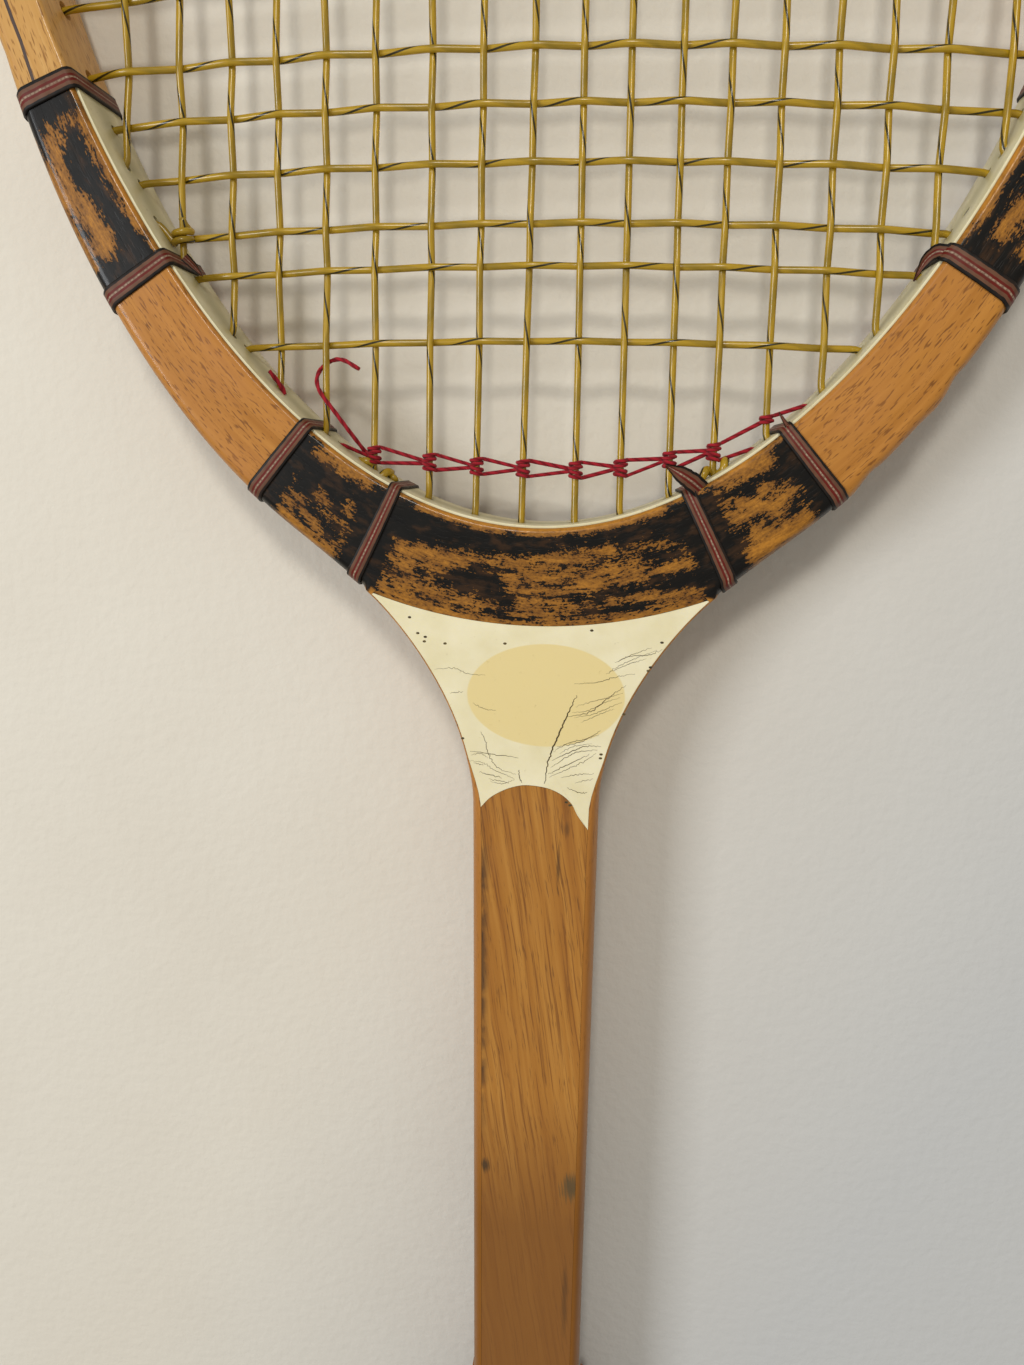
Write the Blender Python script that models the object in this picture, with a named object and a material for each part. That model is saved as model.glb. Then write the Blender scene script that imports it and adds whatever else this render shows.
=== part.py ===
"""Wooden tennis racket of the laminated kind, whole and at real size.

The racket lies flat with its front face up. X runs across the head, +Y runs from the butt to the
tip, and +Z is the front face's normal. The origin is under the middle of the racket, on the surface
that the butt rests on.
"""

import math

import bmesh
import bpy
from mathutils import Vector

MM = 0.001
GAP = 0.3 * MM
ROUNDING = 0.0001 * MM

# Whole racket
OVERALL_LENGTH = 686 * MM
HEAD_INNER_LENGTH = 266 * MM
HEAD_INNER_WIDTH = 200.7 * MM
HEAD_EGG = 0.14
HOOP_DEPTH = 18.5 * MM
HOOP_WIDTH = 10.5 * MM
THROAT_WIDTH = 18.7 * MM
SWELL_ANGLE = math.radians(70)
FLARE_WIDTH = 1.9 * MM
FLARE_ANGLE = math.radians(26)
OUTLINE_STEP = math.radians(6)

# Plies of the hoop, from the inside out
FACING_THICKNESS = 1.0 * MM
FACING_SETBACK = 0.6 * MM
INNER_PLY = 3.9 * MM
INNER_PLY_CHAMFER = 0.7 * MM
FIBRE_PLY = 0.6 * MM
OUTER_PLY = 4.1 * MM
EDGE_ROUND_ACROSS = 2.15 * MM
EDGE_ROUND_DOWN = 4.05 * MM

# Throat, shaft and the thin plates on their faces; a drop is measured down from the throat's inside
SHOULDER_ANGLE = math.radians(17.5)
SHAFT_HALF_WIDTH = 12.9 * MM
SHAFT_HALF_WIDTH_AT_GRIP = 12.2 * MM
SHOULDER_FOOT_DROP = 55.3 * MM
SHOULDER_PULLS = (8.6 * MM, 19.5 * MM)
SHARP_EDGE_ACROSS = 0.5 * MM
SHARP_EDGE_DOWN = 1.4 * MM
SHARP_EDGE_FROM_DROP = 58.5 * MM
SHARP_EDGE_FULL_DROP = 44.5 * MM
PLATE_THICKNESS = 0.6 * MM
WEDGE_FOOT_DROP = 66.5 * MM
ARCH_BASE_DROP = 56.0 * MM
ARCH_RISE = 7.2 * MM
ARCH_HALF_WIDTH = 9.9 * MM

# Bindings: tape wraps at these angles from the throat, on both sides
BINDING_ANGLES = tuple(math.radians(a) for a in (66.3, 50.7, 30.6, 18.6))
BINDING_WIDTH = 3.9 * MM
BINDING_THICKNESS = 0.5 * MM

# Strings
STRING_DIAMETER = 1.35 * MM
STRING_SIDES = 4
MAIN_COUNT = 18
MAIN_CENTRE_GAP_SHARE = 11.0 / 200.7
MAIN_SPACING_SHARE = 9.4 / 200.7
CENTRE_MAIN_DRIFT = 1.0 * MM
TUNNEL_MAINS_A_SIDE = 4
DRIFTING_MAINS = 3
FIRST_CROSS = 35.0 * MM
LOW_CROSS_STEPS = tuple(s * MM for s in (13.6, 7.5, 10.6, 10.0, 9.4))
CROSS_COUNT = 18
TOP_CROSS = 34.0 * MM
CROSS_BOW = 4.5 * MM
HOLE_ROW = 1.3 * MM
HOLE_DIAMETER = 1.95 * MM
HOLE_SIDES = 4
HOLE_LEAD = 2.5 * MM
HOLE_OVERRUN = 1.0 * MM
GROOVE_DEPTH = 1.65 * MM
GROOVE_HALF_WIDTH = 2.6 * MM
GROOVE_START_ANGLE = math.radians(20.2)
GROOVE_STEPS = 51
GROOVE_CLEARANCE = 0.15 * MM
TUNNEL_DEPTH = 9.6 * MM
TUNNEL_CLEARANCE = 0.3 * MM
BEND_HEIGHT = 0.95 * MM
NO_CROSSING = 2.5 * MM
NEAR_WALL = 5.0 * MM
TIE_RADIUS = 1.85 * MM
TIE_PITCH = 1.9 * MM
TIE_TURNS = 1.25
MAIN_TIE_ANGLE = math.radians(55.0)
MAIN_TIE_START = 6.8 * MM
CROSS_TIE_ANGLE = math.radians(20.9)
TIP_TIE_SHIFT = math.radians(4.5)
CURL_RADIUS = 1.15 * MM

# Red cord lashed across the mains above the throat
CORD_DIAMETER = 0.9 * MM
CORD_SIDES = 6
TAIL_SIDES = 8
FIRST_LASHED_MAIN = 5
WRAP_TURNS = 1.5
WRAP_POINTS = 8
WRAP_RADIUS = STRING_DIAMETER / 2 + CORD_DIAMETER / 2 + GAP
WRAP_PITCH = CORD_DIAMETER + 0.45 * MM
WRAP_LIFTS = tuple(h * MM for h in (2.9, 6.7, 9.1, 10.4, 10.0, 8.6, 6.8, 3.9, 3.3))
LOWER_PASS_DROP = 1.4 * MM
LOWER_PASSES = 8
CORD_HOLE_DEPTH = 3.2 * MM
CORD_HOLE_DIAMETER = 1.6 * MM
LOWER_CORD_HOLE_ANGLE = math.radians(27.5)
UPPER_CORD_HOLE_ANGLE = math.radians(34.3)
CORD_TAIL = (
    (-4.5, 4.1, 2.4),
    (-7.3, 7.8, 2.6),
    (-9.9, 11.1, 2.2),
    (-10.9, 13.5, 1.2),
    (-10.5, 15.7, -0.2),
    (-8.6, 17.3, -0.7),
    (-5.9, 17.5, 0.3),
    (-2.4, 15.7, 1.5),
)

# Handle
HANDLE_LENGTH = 192 * MM
PALLET_TAPER = 14 * MM
PALLET_TAPER_LEFT = 1.2 * MM
GRIP_WIDTH = 33.5 * MM
GRIP_DEPTH = 29.5 * MM
GRIP_CORNER_ACROSS = 9.0 * MM
GRIP_CORNER_DOWN = 8.4 * MM
LEATHER_THICKNESS = 1.5 * MM
COLLAR_LENGTH = 11 * MM
COLLAR_THICKNESS = 1.1 * MM
BUTT_LENGTH = 9 * MM
BUTT_WIDTH = 38 * MM
BUTT_DEPTH = 34 * MM
BUTT_ROUND = 2 * MM

# Places worked out from the sizes above
MIDDLE_Z = BUTT_DEPTH / 2
TIP_Y = OVERALL_LENGTH / 2
BUTT_Y = -OVERALL_LENGTH / 2
HEAD_CENTRE_Y = TIP_Y - HOOP_WIDTH - HEAD_INNER_LENGTH / 2
HALF_DEPTH = HOOP_DEPTH / 2
CORE_HALF_DEPTH = HALF_DEPTH - PLATE_THICKNESS - GAP
HANDLE_HALF_DEPTH = CORE_HALF_DEPTH - 0.05 * MM
THROAT_Y = HEAD_CENTRE_Y - HEAD_INNER_LENGTH / 2
SHOULDER_FOOT_Y = THROAT_Y - SHOULDER_FOOT_DROP
SHARP_EDGE_FROM_Y = THROAT_Y - SHARP_EDGE_FROM_DROP
SHARP_EDGE_FULL_Y = THROAT_Y - SHARP_EDGE_FULL_DROP
WEDGE_FOOT_Y = THROAT_Y - WEDGE_FOOT_DROP
ARCH_BASE_Y = THROAT_Y - ARCH_BASE_DROP
MAIN_CENTRE_GAP = HEAD_INNER_WIDTH * MAIN_CENTRE_GAP_SHARE
MAIN_SPACING = HEAD_INNER_WIDTH * MAIN_SPACING_SHARE
STRING_RADIUS = STRING_DIAMETER / 2
WEAVE = (STRING_DIAMETER + GAP) / 2
INNER_PLY_START = FACING_THICKNESS + GAP
INNER_PLY_END = INNER_PLY_START + INNER_PLY
FIBRE_START = OUTER_PLY + GAP
FIBRE_END = FIBRE_START + FIBRE_PLY
HANDLE_TOP_Y = BUTT_Y + HANDLE_LENGTH
PALLET_END_Y = HANDLE_TOP_Y + PALLET_TAPER
HANDLE_FOOT_Y = BUTT_Y + BUTT_LENGTH + GAP


def new_collection(name):
    collection = bpy.data.collections.new(name)
    bpy.context.scene.collection.children.link(collection)
    return collection


def material(name, colour, roughness, metallic=0.0):
    made = bpy.data.materials.new(name)
    made.use_nodes = True
    shader = made.node_tree.nodes["Principled BSDF"]
    shader.inputs["Base Color"].default_value = (*colour, 1.0)
    shader.inputs["Roughness"].default_value = roughness
    shader.inputs["Metallic"].default_value = metallic
    return made


def keep(name, data, made_of, collection):
    """A new object of this mesh or curve, in its collection."""
    thing = bpy.data.objects.new(name, data)
    if made_of:
        data.materials.append(made_of)
    collection.objects.link(thing)
    return thing


def loft(name, sections, closed, made_of, collection):
    """A skin over rings of points that all have the same count; its ends meet or are capped."""
    shape = bmesh.new()
    rings = [[shape.verts.new(point) for point in section] for section in sections]
    count = len(rings[0])
    pairs = list(zip(rings, rings[1:]))
    if closed:
        pairs.append((rings[-1], rings[0]))
    for first, second in pairs:
        for k in range(count):
            after = (k + 1) % count
            shape.faces.new((first[k], first[after], second[after], second[k]))
    if not closed:
        shape.faces.new(rings[0])
        shape.faces.new(list(reversed(rings[-1])))
    bmesh.ops.recalc_face_normals(shape, faces=shape.faces)
    mesh = bpy.data.meshes.new(name)
    shape.to_mesh(mesh)
    shape.free()
    return keep(name, mesh, made_of, collection)


def flat_outline(name, outlines, half_thickness, place, turn, made_of, collection):
    """A plate with these outlines, any after the first being holes, as an extruded 2D curve."""
    curve = bpy.data.curves.new(name, "CURVE")
    curve.dimensions = "2D"
    curve.fill_mode = "BOTH"
    curve.extrude = half_thickness
    for outline in outlines:
        spline = curve.splines.new("POLY")
        spline.points.add(len(outline) - 1)
        spline.use_cyclic_u = True
        for point, (x, y) in zip(spline.points, outline):
            point.co = (x, y, 0, 1)
    plate = keep(name, curve, made_of, collection)
    plate.location = place
    plate.rotation_euler = turn
    return plate


def tube(name, path, diameter, sides, made_of, collection, twist="Z_UP"):
    """A round tube along a path, with filled ends."""
    curve = bpy.data.curves.new(name, "CURVE")
    curve.dimensions = "3D"
    curve.bevel_depth = diameter / 2
    curve.bevel_resolution = (sides - 4) // 2
    curve.use_fill_caps = True
    curve.twist_mode = twist
    spline = curve.splines.new("POLY")
    spline.points.add(len(path) - 1)
    for point, co in zip(spline.points, path):
        point.co = (*co, 1)
    return keep(name, curve, made_of, collection)


def as_mesh(thing):
    """The same object with its curve made a mesh and its caps welded on."""
    graph = bpy.context.evaluated_depsgraph_get()
    mesh = bpy.data.meshes.new_from_object(thing.evaluated_get(graph))
    welded = bmesh.new()
    welded.from_mesh(mesh)
    bmesh.ops.remove_doubles(welded, verts=welded.verts, dist=0.001 * MM)
    bmesh.ops.recalc_face_normals(welded, faces=welded.faces)
    welded.to_mesh(mesh)
    welded.free()
    name, matrix, homes = thing.name, thing.matrix_world.copy(), list(thing.users_collection)
    bpy.data.objects.remove(thing, do_unlink=True)
    solid = bpy.data.objects.new(name, mesh)
    solid.matrix_world = matrix
    for home in homes:
        home.objects.link(solid)
    return solid


def joined(name, things, collection):
    """One mesh object that holds all of these separate solids."""
    whole = bmesh.new()
    for thing in things:
        thing.data.transform(thing.matrix_world)
        whole.from_mesh(thing.data)
        bpy.data.objects.remove(thing, do_unlink=True)
    mesh = bpy.data.meshes.new(name)
    whole.to_mesh(mesh)
    whole.free()
    return keep(name, mesh, None, collection)


def cut(thing, cutter):
    modifier = thing.modifiers.new("cut by " + cutter.name, "BOOLEAN")
    modifier.operation = "DIFFERENCE"
    modifier.solver = "EXACT"
    modifier.object = cutter


def hide(cutter):
    cutter.hide_render = True
    cutter.display_type = "WIRE"
    return cutter


def folded(angle):
    """The angle from the throat, 0 to pi, whichever side it is on."""
    angle = math.fmod(abs(angle), 2 * math.pi)
    return min(angle, 2 * math.pi - angle)


def hoop_width(angle):
    """The hoop's width in its plane, which swells from the sides to the throat."""
    share = min(folded(angle) / SWELL_ANGLE, 1.0)
    width = THROAT_WIDTH - (THROAT_WIDTH - HOOP_WIDTH) * share**2
    flare = max(FLARE_ANGLE - folded(angle), 0.0) / (FLARE_ANGLE - SHOULDER_ANGLE)
    return width + FLARE_WIDTH * flare**2


def head_tangent(angle):
    half_width = HEAD_INNER_WIDTH / 2
    across = half_width * (math.cos(angle) - HEAD_EGG * math.cos(2 * angle))
    along = HEAD_INNER_LENGTH / 2 * math.sin(angle)
    return Vector((across, along)).normalized()


def head_normal(angle):
    tangent = head_tangent(angle)
    return Vector((tangent.y, -tangent.x))


def head_point(angle, outwards=0.0):
    """A point of the egg-shaped inner outline, 0 at the throat, moved outwards."""
    across = HEAD_INNER_WIDTH / 2 * math.sin(angle) * (1 - HEAD_EGG * math.cos(angle))
    along = HEAD_CENTRE_Y - HEAD_INNER_LENGTH / 2 * math.cos(angle)
    return Vector((across, along)) + head_normal(angle) * outwards


def outer_point(angle):
    return head_point(angle, hoop_width(angle))


def at(flat, height):
    """A point of the racket's plane at a height over the string plane."""
    return Vector((flat.x, flat.y, MIDDLE_Z + height))


def angles(first, last):
    """Angles at the outline's even steps between these two, with both ends."""
    start = math.floor(first / OUTLINE_STEP + 1.2)
    stop = math.ceil(last / OUTLINE_STEP - 1.2)
    return [first] + [k * OUTLINE_STEP for k in range(start, stop + 1)] + [last]


def mirrored(points):
    return [Vector((-p.x, p.y)) for p in reversed(points)]


def sharpness(y):
    """How sharp the outer ply's edge is at a height of the leg, from 0 on the shaft to 1."""
    share = min(max((y - SHARP_EDGE_FROM_Y) / (SHARP_EDGE_FULL_Y - SHARP_EDGE_FROM_Y), 0.0), 1.0)
    return share * share * (3 - 2 * share)


def silhouette():
    """The outer ply's outside from the right leg's foot over the tip to the left leg's foot, and
    for each point whether it is in the handle, and how sharp the ply's edge is there."""
    joint = outer_point(SHOULDER_ANGLE)
    inwards = (joint - outer_point(SHOULDER_ANGLE + 0.01)).normalized()
    foot = Vector((SHAFT_HALF_WIDTH, SHOULDER_FOOT_Y))
    pulls = (foot + Vector((0, SHOULDER_PULLS[1])), joint + inwards * SHOULDER_PULLS[0])
    leg = [
        Vector((SHAFT_HALF_WIDTH_AT_GRIP, HANDLE_FOOT_Y)),
        Vector((SHAFT_HALF_WIDTH_AT_GRIP, PALLET_END_Y)),
        Vector((SHAFT_HALF_WIDTH_AT_GRIP, PALLET_END_Y + GAP)),
    ]
    for t in (0.0, 0.14, 0.28, 0.42, 0.56, 0.7, 0.82, 0.92):
        leg.append(
            foot * (1 - t) ** 3
            + pulls[0] * 3 * t * (1 - t) ** 2
            + pulls[1] * 3 * t * t * (1 - t)
            + joint * t**3
        )
    head = [outer_point(a) for a in angles(SHOULDER_ANGLE, 2 * math.pi - SHOULDER_ANGLE)]
    points = leg + head + mirrored(leg)
    sharp = [sharpness(p.y) for p in leg]
    sharp = sharp + [0.0] * len(head) + list(reversed(sharp))
    in_handle = [p.y < PALLET_END_Y + GAP / 2 for p in points]
    return points, list(zip(in_handle, sharp))


def inset(points, distance):
    """The open line moved to its left, which is the racket's inside."""
    moved = []
    for k, point in enumerate(points):
        before = points[max(k - 1, 0)]
        after = points[min(k + 1, len(points) - 1)]
        along = (after - before).normalized()
        turn_here = 1.0
        if 0 < k < len(points) - 1:
            first = (point - before).normalized()
            along = (first + (after - point).normalized()).normalized()
            turn_here = max(first.dot(along), 0.5)
        moved.append(point - Vector((along.y, -along.x)) * distance / turn_here)
    return moved


def ply_along(name, points, places, profile, made_of, collection):
    """A ply whose section, as (depth inside the outline, height) pairs, follows the outline."""
    towards = [moved - point for moved, point in zip(inset(points, 1 * MM), points)]
    sections = []
    for point, inwards, place in zip(points, towards, places):
        sections.append([at(point + inwards * depth / MM, height) for depth, height in profile(*place)])
    return loft(name, sections, False, made_of, collection)


def edge_across(sharp):
    return EDGE_ROUND_ACROSS + (SHARP_EDGE_ACROSS - EDGE_ROUND_ACROSS) * sharp


def rounded_edge(grow, sharp=0.0):
    """The outer ply's rounded edge as (depth, height) pairs, from the face down to the side."""
    across = edge_across(sharp)
    down = EDGE_ROUND_DOWN + (SHARP_EDGE_DOWN - EDGE_ROUND_DOWN) * sharp
    pairs = []
    for k in range(3):
        turned = math.radians(45 * k)
        depth = across - (across + grow) * math.sin(turned)
        height = HALF_DEPTH - down + (down + grow) * math.cos(turned)
        pairs.append((depth, height))
    return pairs


def outer_ply_profile(in_handle, sharp):
    """The outer ply's section, which the pallets cover without its lip in the handle."""
    highest = HANDLE_HALF_DEPTH if in_handle else HALF_DEPTH
    upper = [(OUTER_PLY, highest)]
    upper += [(depth, min(height, highest)) for depth, height in rounded_edge(0.0, sharp)]
    return upper + [(depth, -height) for depth, height in reversed(upper)]


def fibre_profile(in_handle, sharp):
    face = HANDLE_HALF_DEPTH if in_handle else HALF_DEPTH
    return [(FIBRE_START, face), (FIBRE_START, -face), (FIBRE_END, -face), (FIBRE_END, face)]


def plate_edge(points, places, grow):
    """The right half of the line where the outer ply's rounded edge begins, moved inwards."""
    half = len(points) // 2
    towards = [moved - point for moved, point in zip(inset(points, 1 * MM), points)]
    line = []
    for point, inwards, (_, sharp) in list(zip(points, towards, places))[:half]:
        line.append(point + inwards * (edge_across(sharp) + grow) / MM)
    return line


def crossing_of(line, inside_line):
    """Where an open line first crosses another one, walking from its start."""
    for a, b in zip(line, line[1:]):
        for c, d in zip(inside_line, inside_line[1:]):
            ab, cd, ac = b - a, d - c, c - a
            size = ab.x * cd.y - ab.y * cd.x
            if abs(size) < 1e-15:
                continue
            s = (ac.x * cd.y - ac.y * cd.x) / size
            t = (ac.x * ab.y - ac.y * ab.x) / size
            if 0 <= s <= 1 and 0 <= t <= 1:
                return a + ab * s
    raise ValueError("the lines don't cross")


def between(line, low, high):
    return [p for p in line if low < p.y < high]


def across_at(line, y):
    """The point of an open line that climbs past this height."""
    for a, b in zip(line, line[1:]):
        if a.y - ROUNDING <= y <= b.y + ROUNDING and b.y > a.y:
            return a.lerp(b, (y - a.y) / (b.y - a.y))
    raise ValueError("the line doesn't reach that height")


def right_half(line):
    return line[: len(line) // 2 + 1]


def throat_arc(side_line, grow):
    """The painted hoop's lower edge, from a line of the right side to its mirror image."""
    joint = outer_point(SHOULDER_ANGLE)
    apex = Vector((0, THROAT_Y - THROAT_WIDTH))
    rise = joint.y - apex.y
    radius = (joint.x**2 + rise**2) / (2 * rise)
    spread = 1.1 * math.asin(joint.x / radius)
    steps = 14
    arc = []
    for k in range(steps + 1):
        turned = spread * (1 - 2 * k / steps)
        arc.append(apex + Vector((0, radius)) + (radius + grow) * Vector((math.sin(turned), -math.cos(turned))))
    corner = crossing_of(side_line, arc)
    inside = [p for p in arc if abs(p.x) < corner.x - 0.2 * MM]
    return [corner] + inside + [Vector((-corner.x, corner.y))]


def crescent_outline(bow_inside):
    """The throat crescent, whose horns run up between the inner ply and the fibre ply."""
    horn = BINDING_ANGLES[0]
    inner = [head_point(a, INNER_PLY_END + GAP) for a in angles(-horn, horn)]
    arc = throat_arc(bow_inside, -GAP / 2)
    side = between(bow_inside, arc[0].y, inner[-1].y - 1.5 * MM)
    return inner + list(reversed(side)) + arc + [Vector((-p.x, p.y)) for p in side]


def wedge_outline(bow_inside):
    arc = throat_arc(bow_inside, GAP / 2)
    foot = across_at(bow_inside, WEDGE_FOOT_Y)
    side = [foot] + between(bow_inside, WEDGE_FOOT_Y + 0.2 * MM, arc[0].y - 0.2 * MM)
    return side + arc + mirrored(side)


def core_outline(bow_inside):
    top = across_at(bow_inside, WEDGE_FOOT_Y - GAP)
    side = [across_at(bow_inside, HANDLE_FOOT_Y), across_at(bow_inside, HANDLE_TOP_Y), top]
    return side + mirrored(side)


def arch(grow):
    """The arch between overlay and shaft face, from right to left, grown outwards."""
    radius = (ARCH_HALF_WIDTH**2 + ARCH_RISE**2) / (2 * ARCH_RISE)
    centre = Vector((0, ARCH_BASE_Y + ARCH_RISE - radius))
    first = math.atan2(ARCH_BASE_Y - centre.y, ARCH_HALF_WIDTH)
    steps = 12
    turns = [first + (math.pi - 2 * first) * k / steps for k in range(steps + 1)]
    return [centre + (radius + grow) * Vector((math.cos(a), math.sin(a))) for a in turns]


def overlay_outline(edge):
    """The throat's cover plate: a horn along each shoulder, and a swallow-tail foot."""
    arc = throat_arc(edge, GAP / 2)
    foot = across_at(edge, ARCH_BASE_Y + 0.1 * MM)
    side = [foot] + between(edge, ARCH_BASE_Y + 1 * MM, arc[0].y - 0.3 * MM)
    return side + arc + mirrored(side) + list(reversed(arch(GAP)))


def face_outline(edge):
    """The shaft's face plate, from the handle up to the arch."""
    side = [across_at(edge, PALLET_END_Y + 2 * GAP), across_at(edge, ARCH_BASE_Y - GAP)]
    right = side + [Vector((ARCH_HALF_WIDTH, ARCH_BASE_Y - GAP))]
    return right + arch(0.0) + mirrored(right)


def recess_outline(edge):
    """What both plates on a face lie in, from the handle up to the hoop."""
    arc = throat_arc(edge, -GAP / 2)
    foot = across_at(edge, PALLET_END_Y - 2 * MM)
    side = [foot] + between(edge, PALLET_END_Y, arc[0].y - 0.3 * MM)
    return side + arc + mirrored(side)


def inner_ply_sections():
    """Rings of the closed inner ply: set back under the facing, full above the upper bindings."""
    step = math.radians(0.4)
    edge = BINDING_ANGLES[0]
    stops = [edge - step, edge + step]
    turns = [k * OUTLINE_STEP for k in range(round(2 * math.pi / OUTLINE_STEP))]
    turns = sorted(turns + stops + [2 * math.pi - s for s in stops])
    sections = []
    for turn in turns:
        start = INNER_PLY_START if folded(turn) < edge else 0.0
        face, chamfer = HALF_DEPTH, INNER_PLY_CHAMFER
        upper = [(INNER_PLY_END, face), (start + chamfer, face), (start, face - chamfer)]
        profile = upper + [(d, -h) for d, h in reversed(upper)]
        sections.append([at(head_point(turn, d), h) for d, h in profile])
    return sections


def facing_sections():
    last = BINDING_ANGLES[0] - math.radians(0.7)
    height = HALF_DEPTH - FACING_SETBACK
    profile = [(0, height), (0, -height), (FACING_THICKNESS, -height), (FACING_THICKNESS, height)]
    return [[at(head_point(a, d), h) for d, h in profile] for a in angles(-last, last)]


def binding_sections(angle):
    """A closed band round the hoop's section, whose corners follow the rounded edge."""
    sections = []
    half_turn = BINDING_WIDTH / 2 / (HEAD_INNER_LENGTH / 2 + hoop_width(angle) / 2)
    def ring(grow):
        edge = [(-depth, height) for depth, height in rounded_edge(grow)]
        upper = [(None, HALF_DEPTH + grow)] + edge
        return upper + [(d, -h) for d, h in reversed(upper)]
    for (near, low), (far, high) in zip(ring(GAP), ring(GAP + BINDING_THICKNESS)):
        corners = []
        for turn, beyond, grow, height in (
            (angle - half_turn, near, GAP, low),
            (angle + half_turn, near, GAP, low),
            (angle + half_turn, far, GAP + BINDING_THICKNESS, high),
            (angle - half_turn, far, GAP + BINDING_THICKNESS, high),
        ):
            outwards = -grow if beyond is None else hoop_width(turn) + beyond
            corners.append(at(head_point(turn, outwards), height))
        sections.append(corners)
    return sections


def solve(function, low, high):
    """Where a rising function crosses zero."""
    for _ in range(50):
        middle = (low + high) / 2
        if function(middle) < 0:
            low = middle
        else:
            high = middle
    return (low + high) / 2


def widest_angle():
    return solve(lambda a: -head_tangent(a).x, math.radians(60), math.radians(130))


def main_places():
    """X of each main string, from left to right; the six centre ones have drifted to the right."""
    places = []
    for k in range(MAIN_COUNT // 2):
        place = MAIN_CENTRE_GAP / 2 + MAIN_SPACING * k
        drift = CENTRE_MAIN_DRIFT if k < DRIFTING_MAINS else 0.0
        places += [-place + drift, place + drift]
    return sorted(places)


def cross_places():
    """Y of each cross string at the middle, from the throat up."""
    places = [THROAT_Y + FIRST_CROSS]
    for step in LOW_CROSS_STEPS:
        places.append(places[-1] + step)
    left = CROSS_COUNT - len(places)
    top = HEAD_CENTRE_Y + HEAD_INNER_LENGTH / 2 - TOP_CROSS
    even = (top - places[-1]) / left
    return places + [places[-1] + even * (k + 1) for k in range(left)]


def cross_y(place, x):
    return place - CROSS_BOW * (2 * x / HEAD_INNER_WIDTH) ** 2


def main_angles(x):
    """The angles, signed by side, where a main string meets the throat's side and the tip's side."""
    side = math.copysign(1, x)
    wide = widest_angle()
    low = solve(lambda a: head_point(a).x - abs(x), 0, wide)
    high = solve(lambda a: abs(x) - head_point(a).x, wide, math.pi)
    return side * low, side * high


def cross_angle(place):
    return solve(lambda a: head_point(a).y - cross_y(place, head_point(a).x), 0, math.pi)


def wall_gap(x, y):
    """How far a point of the string plane is from the inner outline, across or along."""
    if not THROAT_Y < y < HEAD_CENTRE_Y + HEAD_INNER_LENGTH / 2:
        return 0.0
    wall = solve(lambda a: head_point(a).y - y, 0, math.pi)
    low, high = main_angles(x)
    return min(head_point(wall).x - abs(x), y - head_point(low).y, head_point(high).y - y)


def crossings(mains, crosses):
    """Each crossing's point and the main string's height over the string plane there."""
    found = {}
    for i, x in enumerate(mains):
        for j, place in enumerate(crosses):
            y = cross_y(place, x)
            gap = wall_gap(x, y)
            if gap < NO_CROSSING:
                continue
            over = gap < NEAR_WALL or (i + j) % 2 == 0
            found[i, j] = (Vector((x, y)), WEAVE if over else -WEAVE)
    return found


def groove_depth(angle):
    return hoop_width(angle) - GROOVE_DEPTH + STRING_RADIUS + GROOVE_CLEARANCE


def through_hoop(angle, row):
    """Points of a string that goes out through the hoop: its bend inside, and its groove corner."""
    return [at(head_point(angle, -BEND_HEIGHT), row), at(head_point(angle, groove_depth(angle)), row)]


def groove_run(first, last, row):
    """Points in the outer groove between two holes, without the holes' own corners."""
    steps = max(1, round(abs(last - first) / OUTLINE_STEP))
    turns = [first + (last - first) * k / steps for k in range(1, steps)]
    return [at(head_point(a, groove_depth(a)), row) for a in turns]


def tunnel(first, last, row):
    """Points of a string that turns back inside the crescent between two holes."""
    side = TUNNEL_DEPTH - STRING_DIAMETER
    middle = (first + last) / 2
    return [
        at(head_point(first, -BEND_HEIGHT), row),
        at(head_point(first, side), row),
        at(head_point(middle, TUNNEL_DEPTH), row),
        at(head_point(last, side), row),
        at(head_point(last, -BEND_HEIGHT), row),
    ]


def in_tunnel_zone(i):
    """Whether this main turns back inside the crescent, as those above the shoulders do."""
    return abs(i - (MAIN_COUNT - 1) / 2) < TUNNEL_MAINS_A_SIDE


def point_at_y(path, y):
    """The point of a path of 3D points at this Y, on its straight stretches."""
    for a, b in zip(path, path[1:]):
        if min(a.y, b.y) <= y <= max(a.y, b.y) and a.y != b.y:
            return a.lerp(b, (y - a.y) / (b.y - a.y))
    raise ValueError("the path doesn't pass that height")


def wound(path, start_y, pitch, radius, turns, start_turn, points_a_turn, spin):
    """Points of a helix round a string's straight stretch, counted in turns from its left side."""
    made = []
    for k in range(round(turns * points_a_turn) + 1):
        turned = k / points_a_turn
        centre = point_at_y(path, start_y + pitch * turned)
        phase = math.pi + spin * 2 * math.pi * (start_turn + turned)
        made.append(centre + radius * Vector((math.cos(phase), 0, math.sin(phase))))
    return made


def main_runs(mains, crosses, woven):
    """Each main string's points from its throat end to its tip end, without the hoop."""
    runs = []
    for i, x in enumerate(mains):
        low, high = main_angles(x)
        run = [through_hoop(low, HOLE_ROW)[0]]
        run += [at(*woven[i, j]) for j in range(len(crosses)) if (i, j) in woven]
        run.append(through_hoop(high, HOLE_ROW)[0])
        runs.append(run)
    return runs


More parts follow.
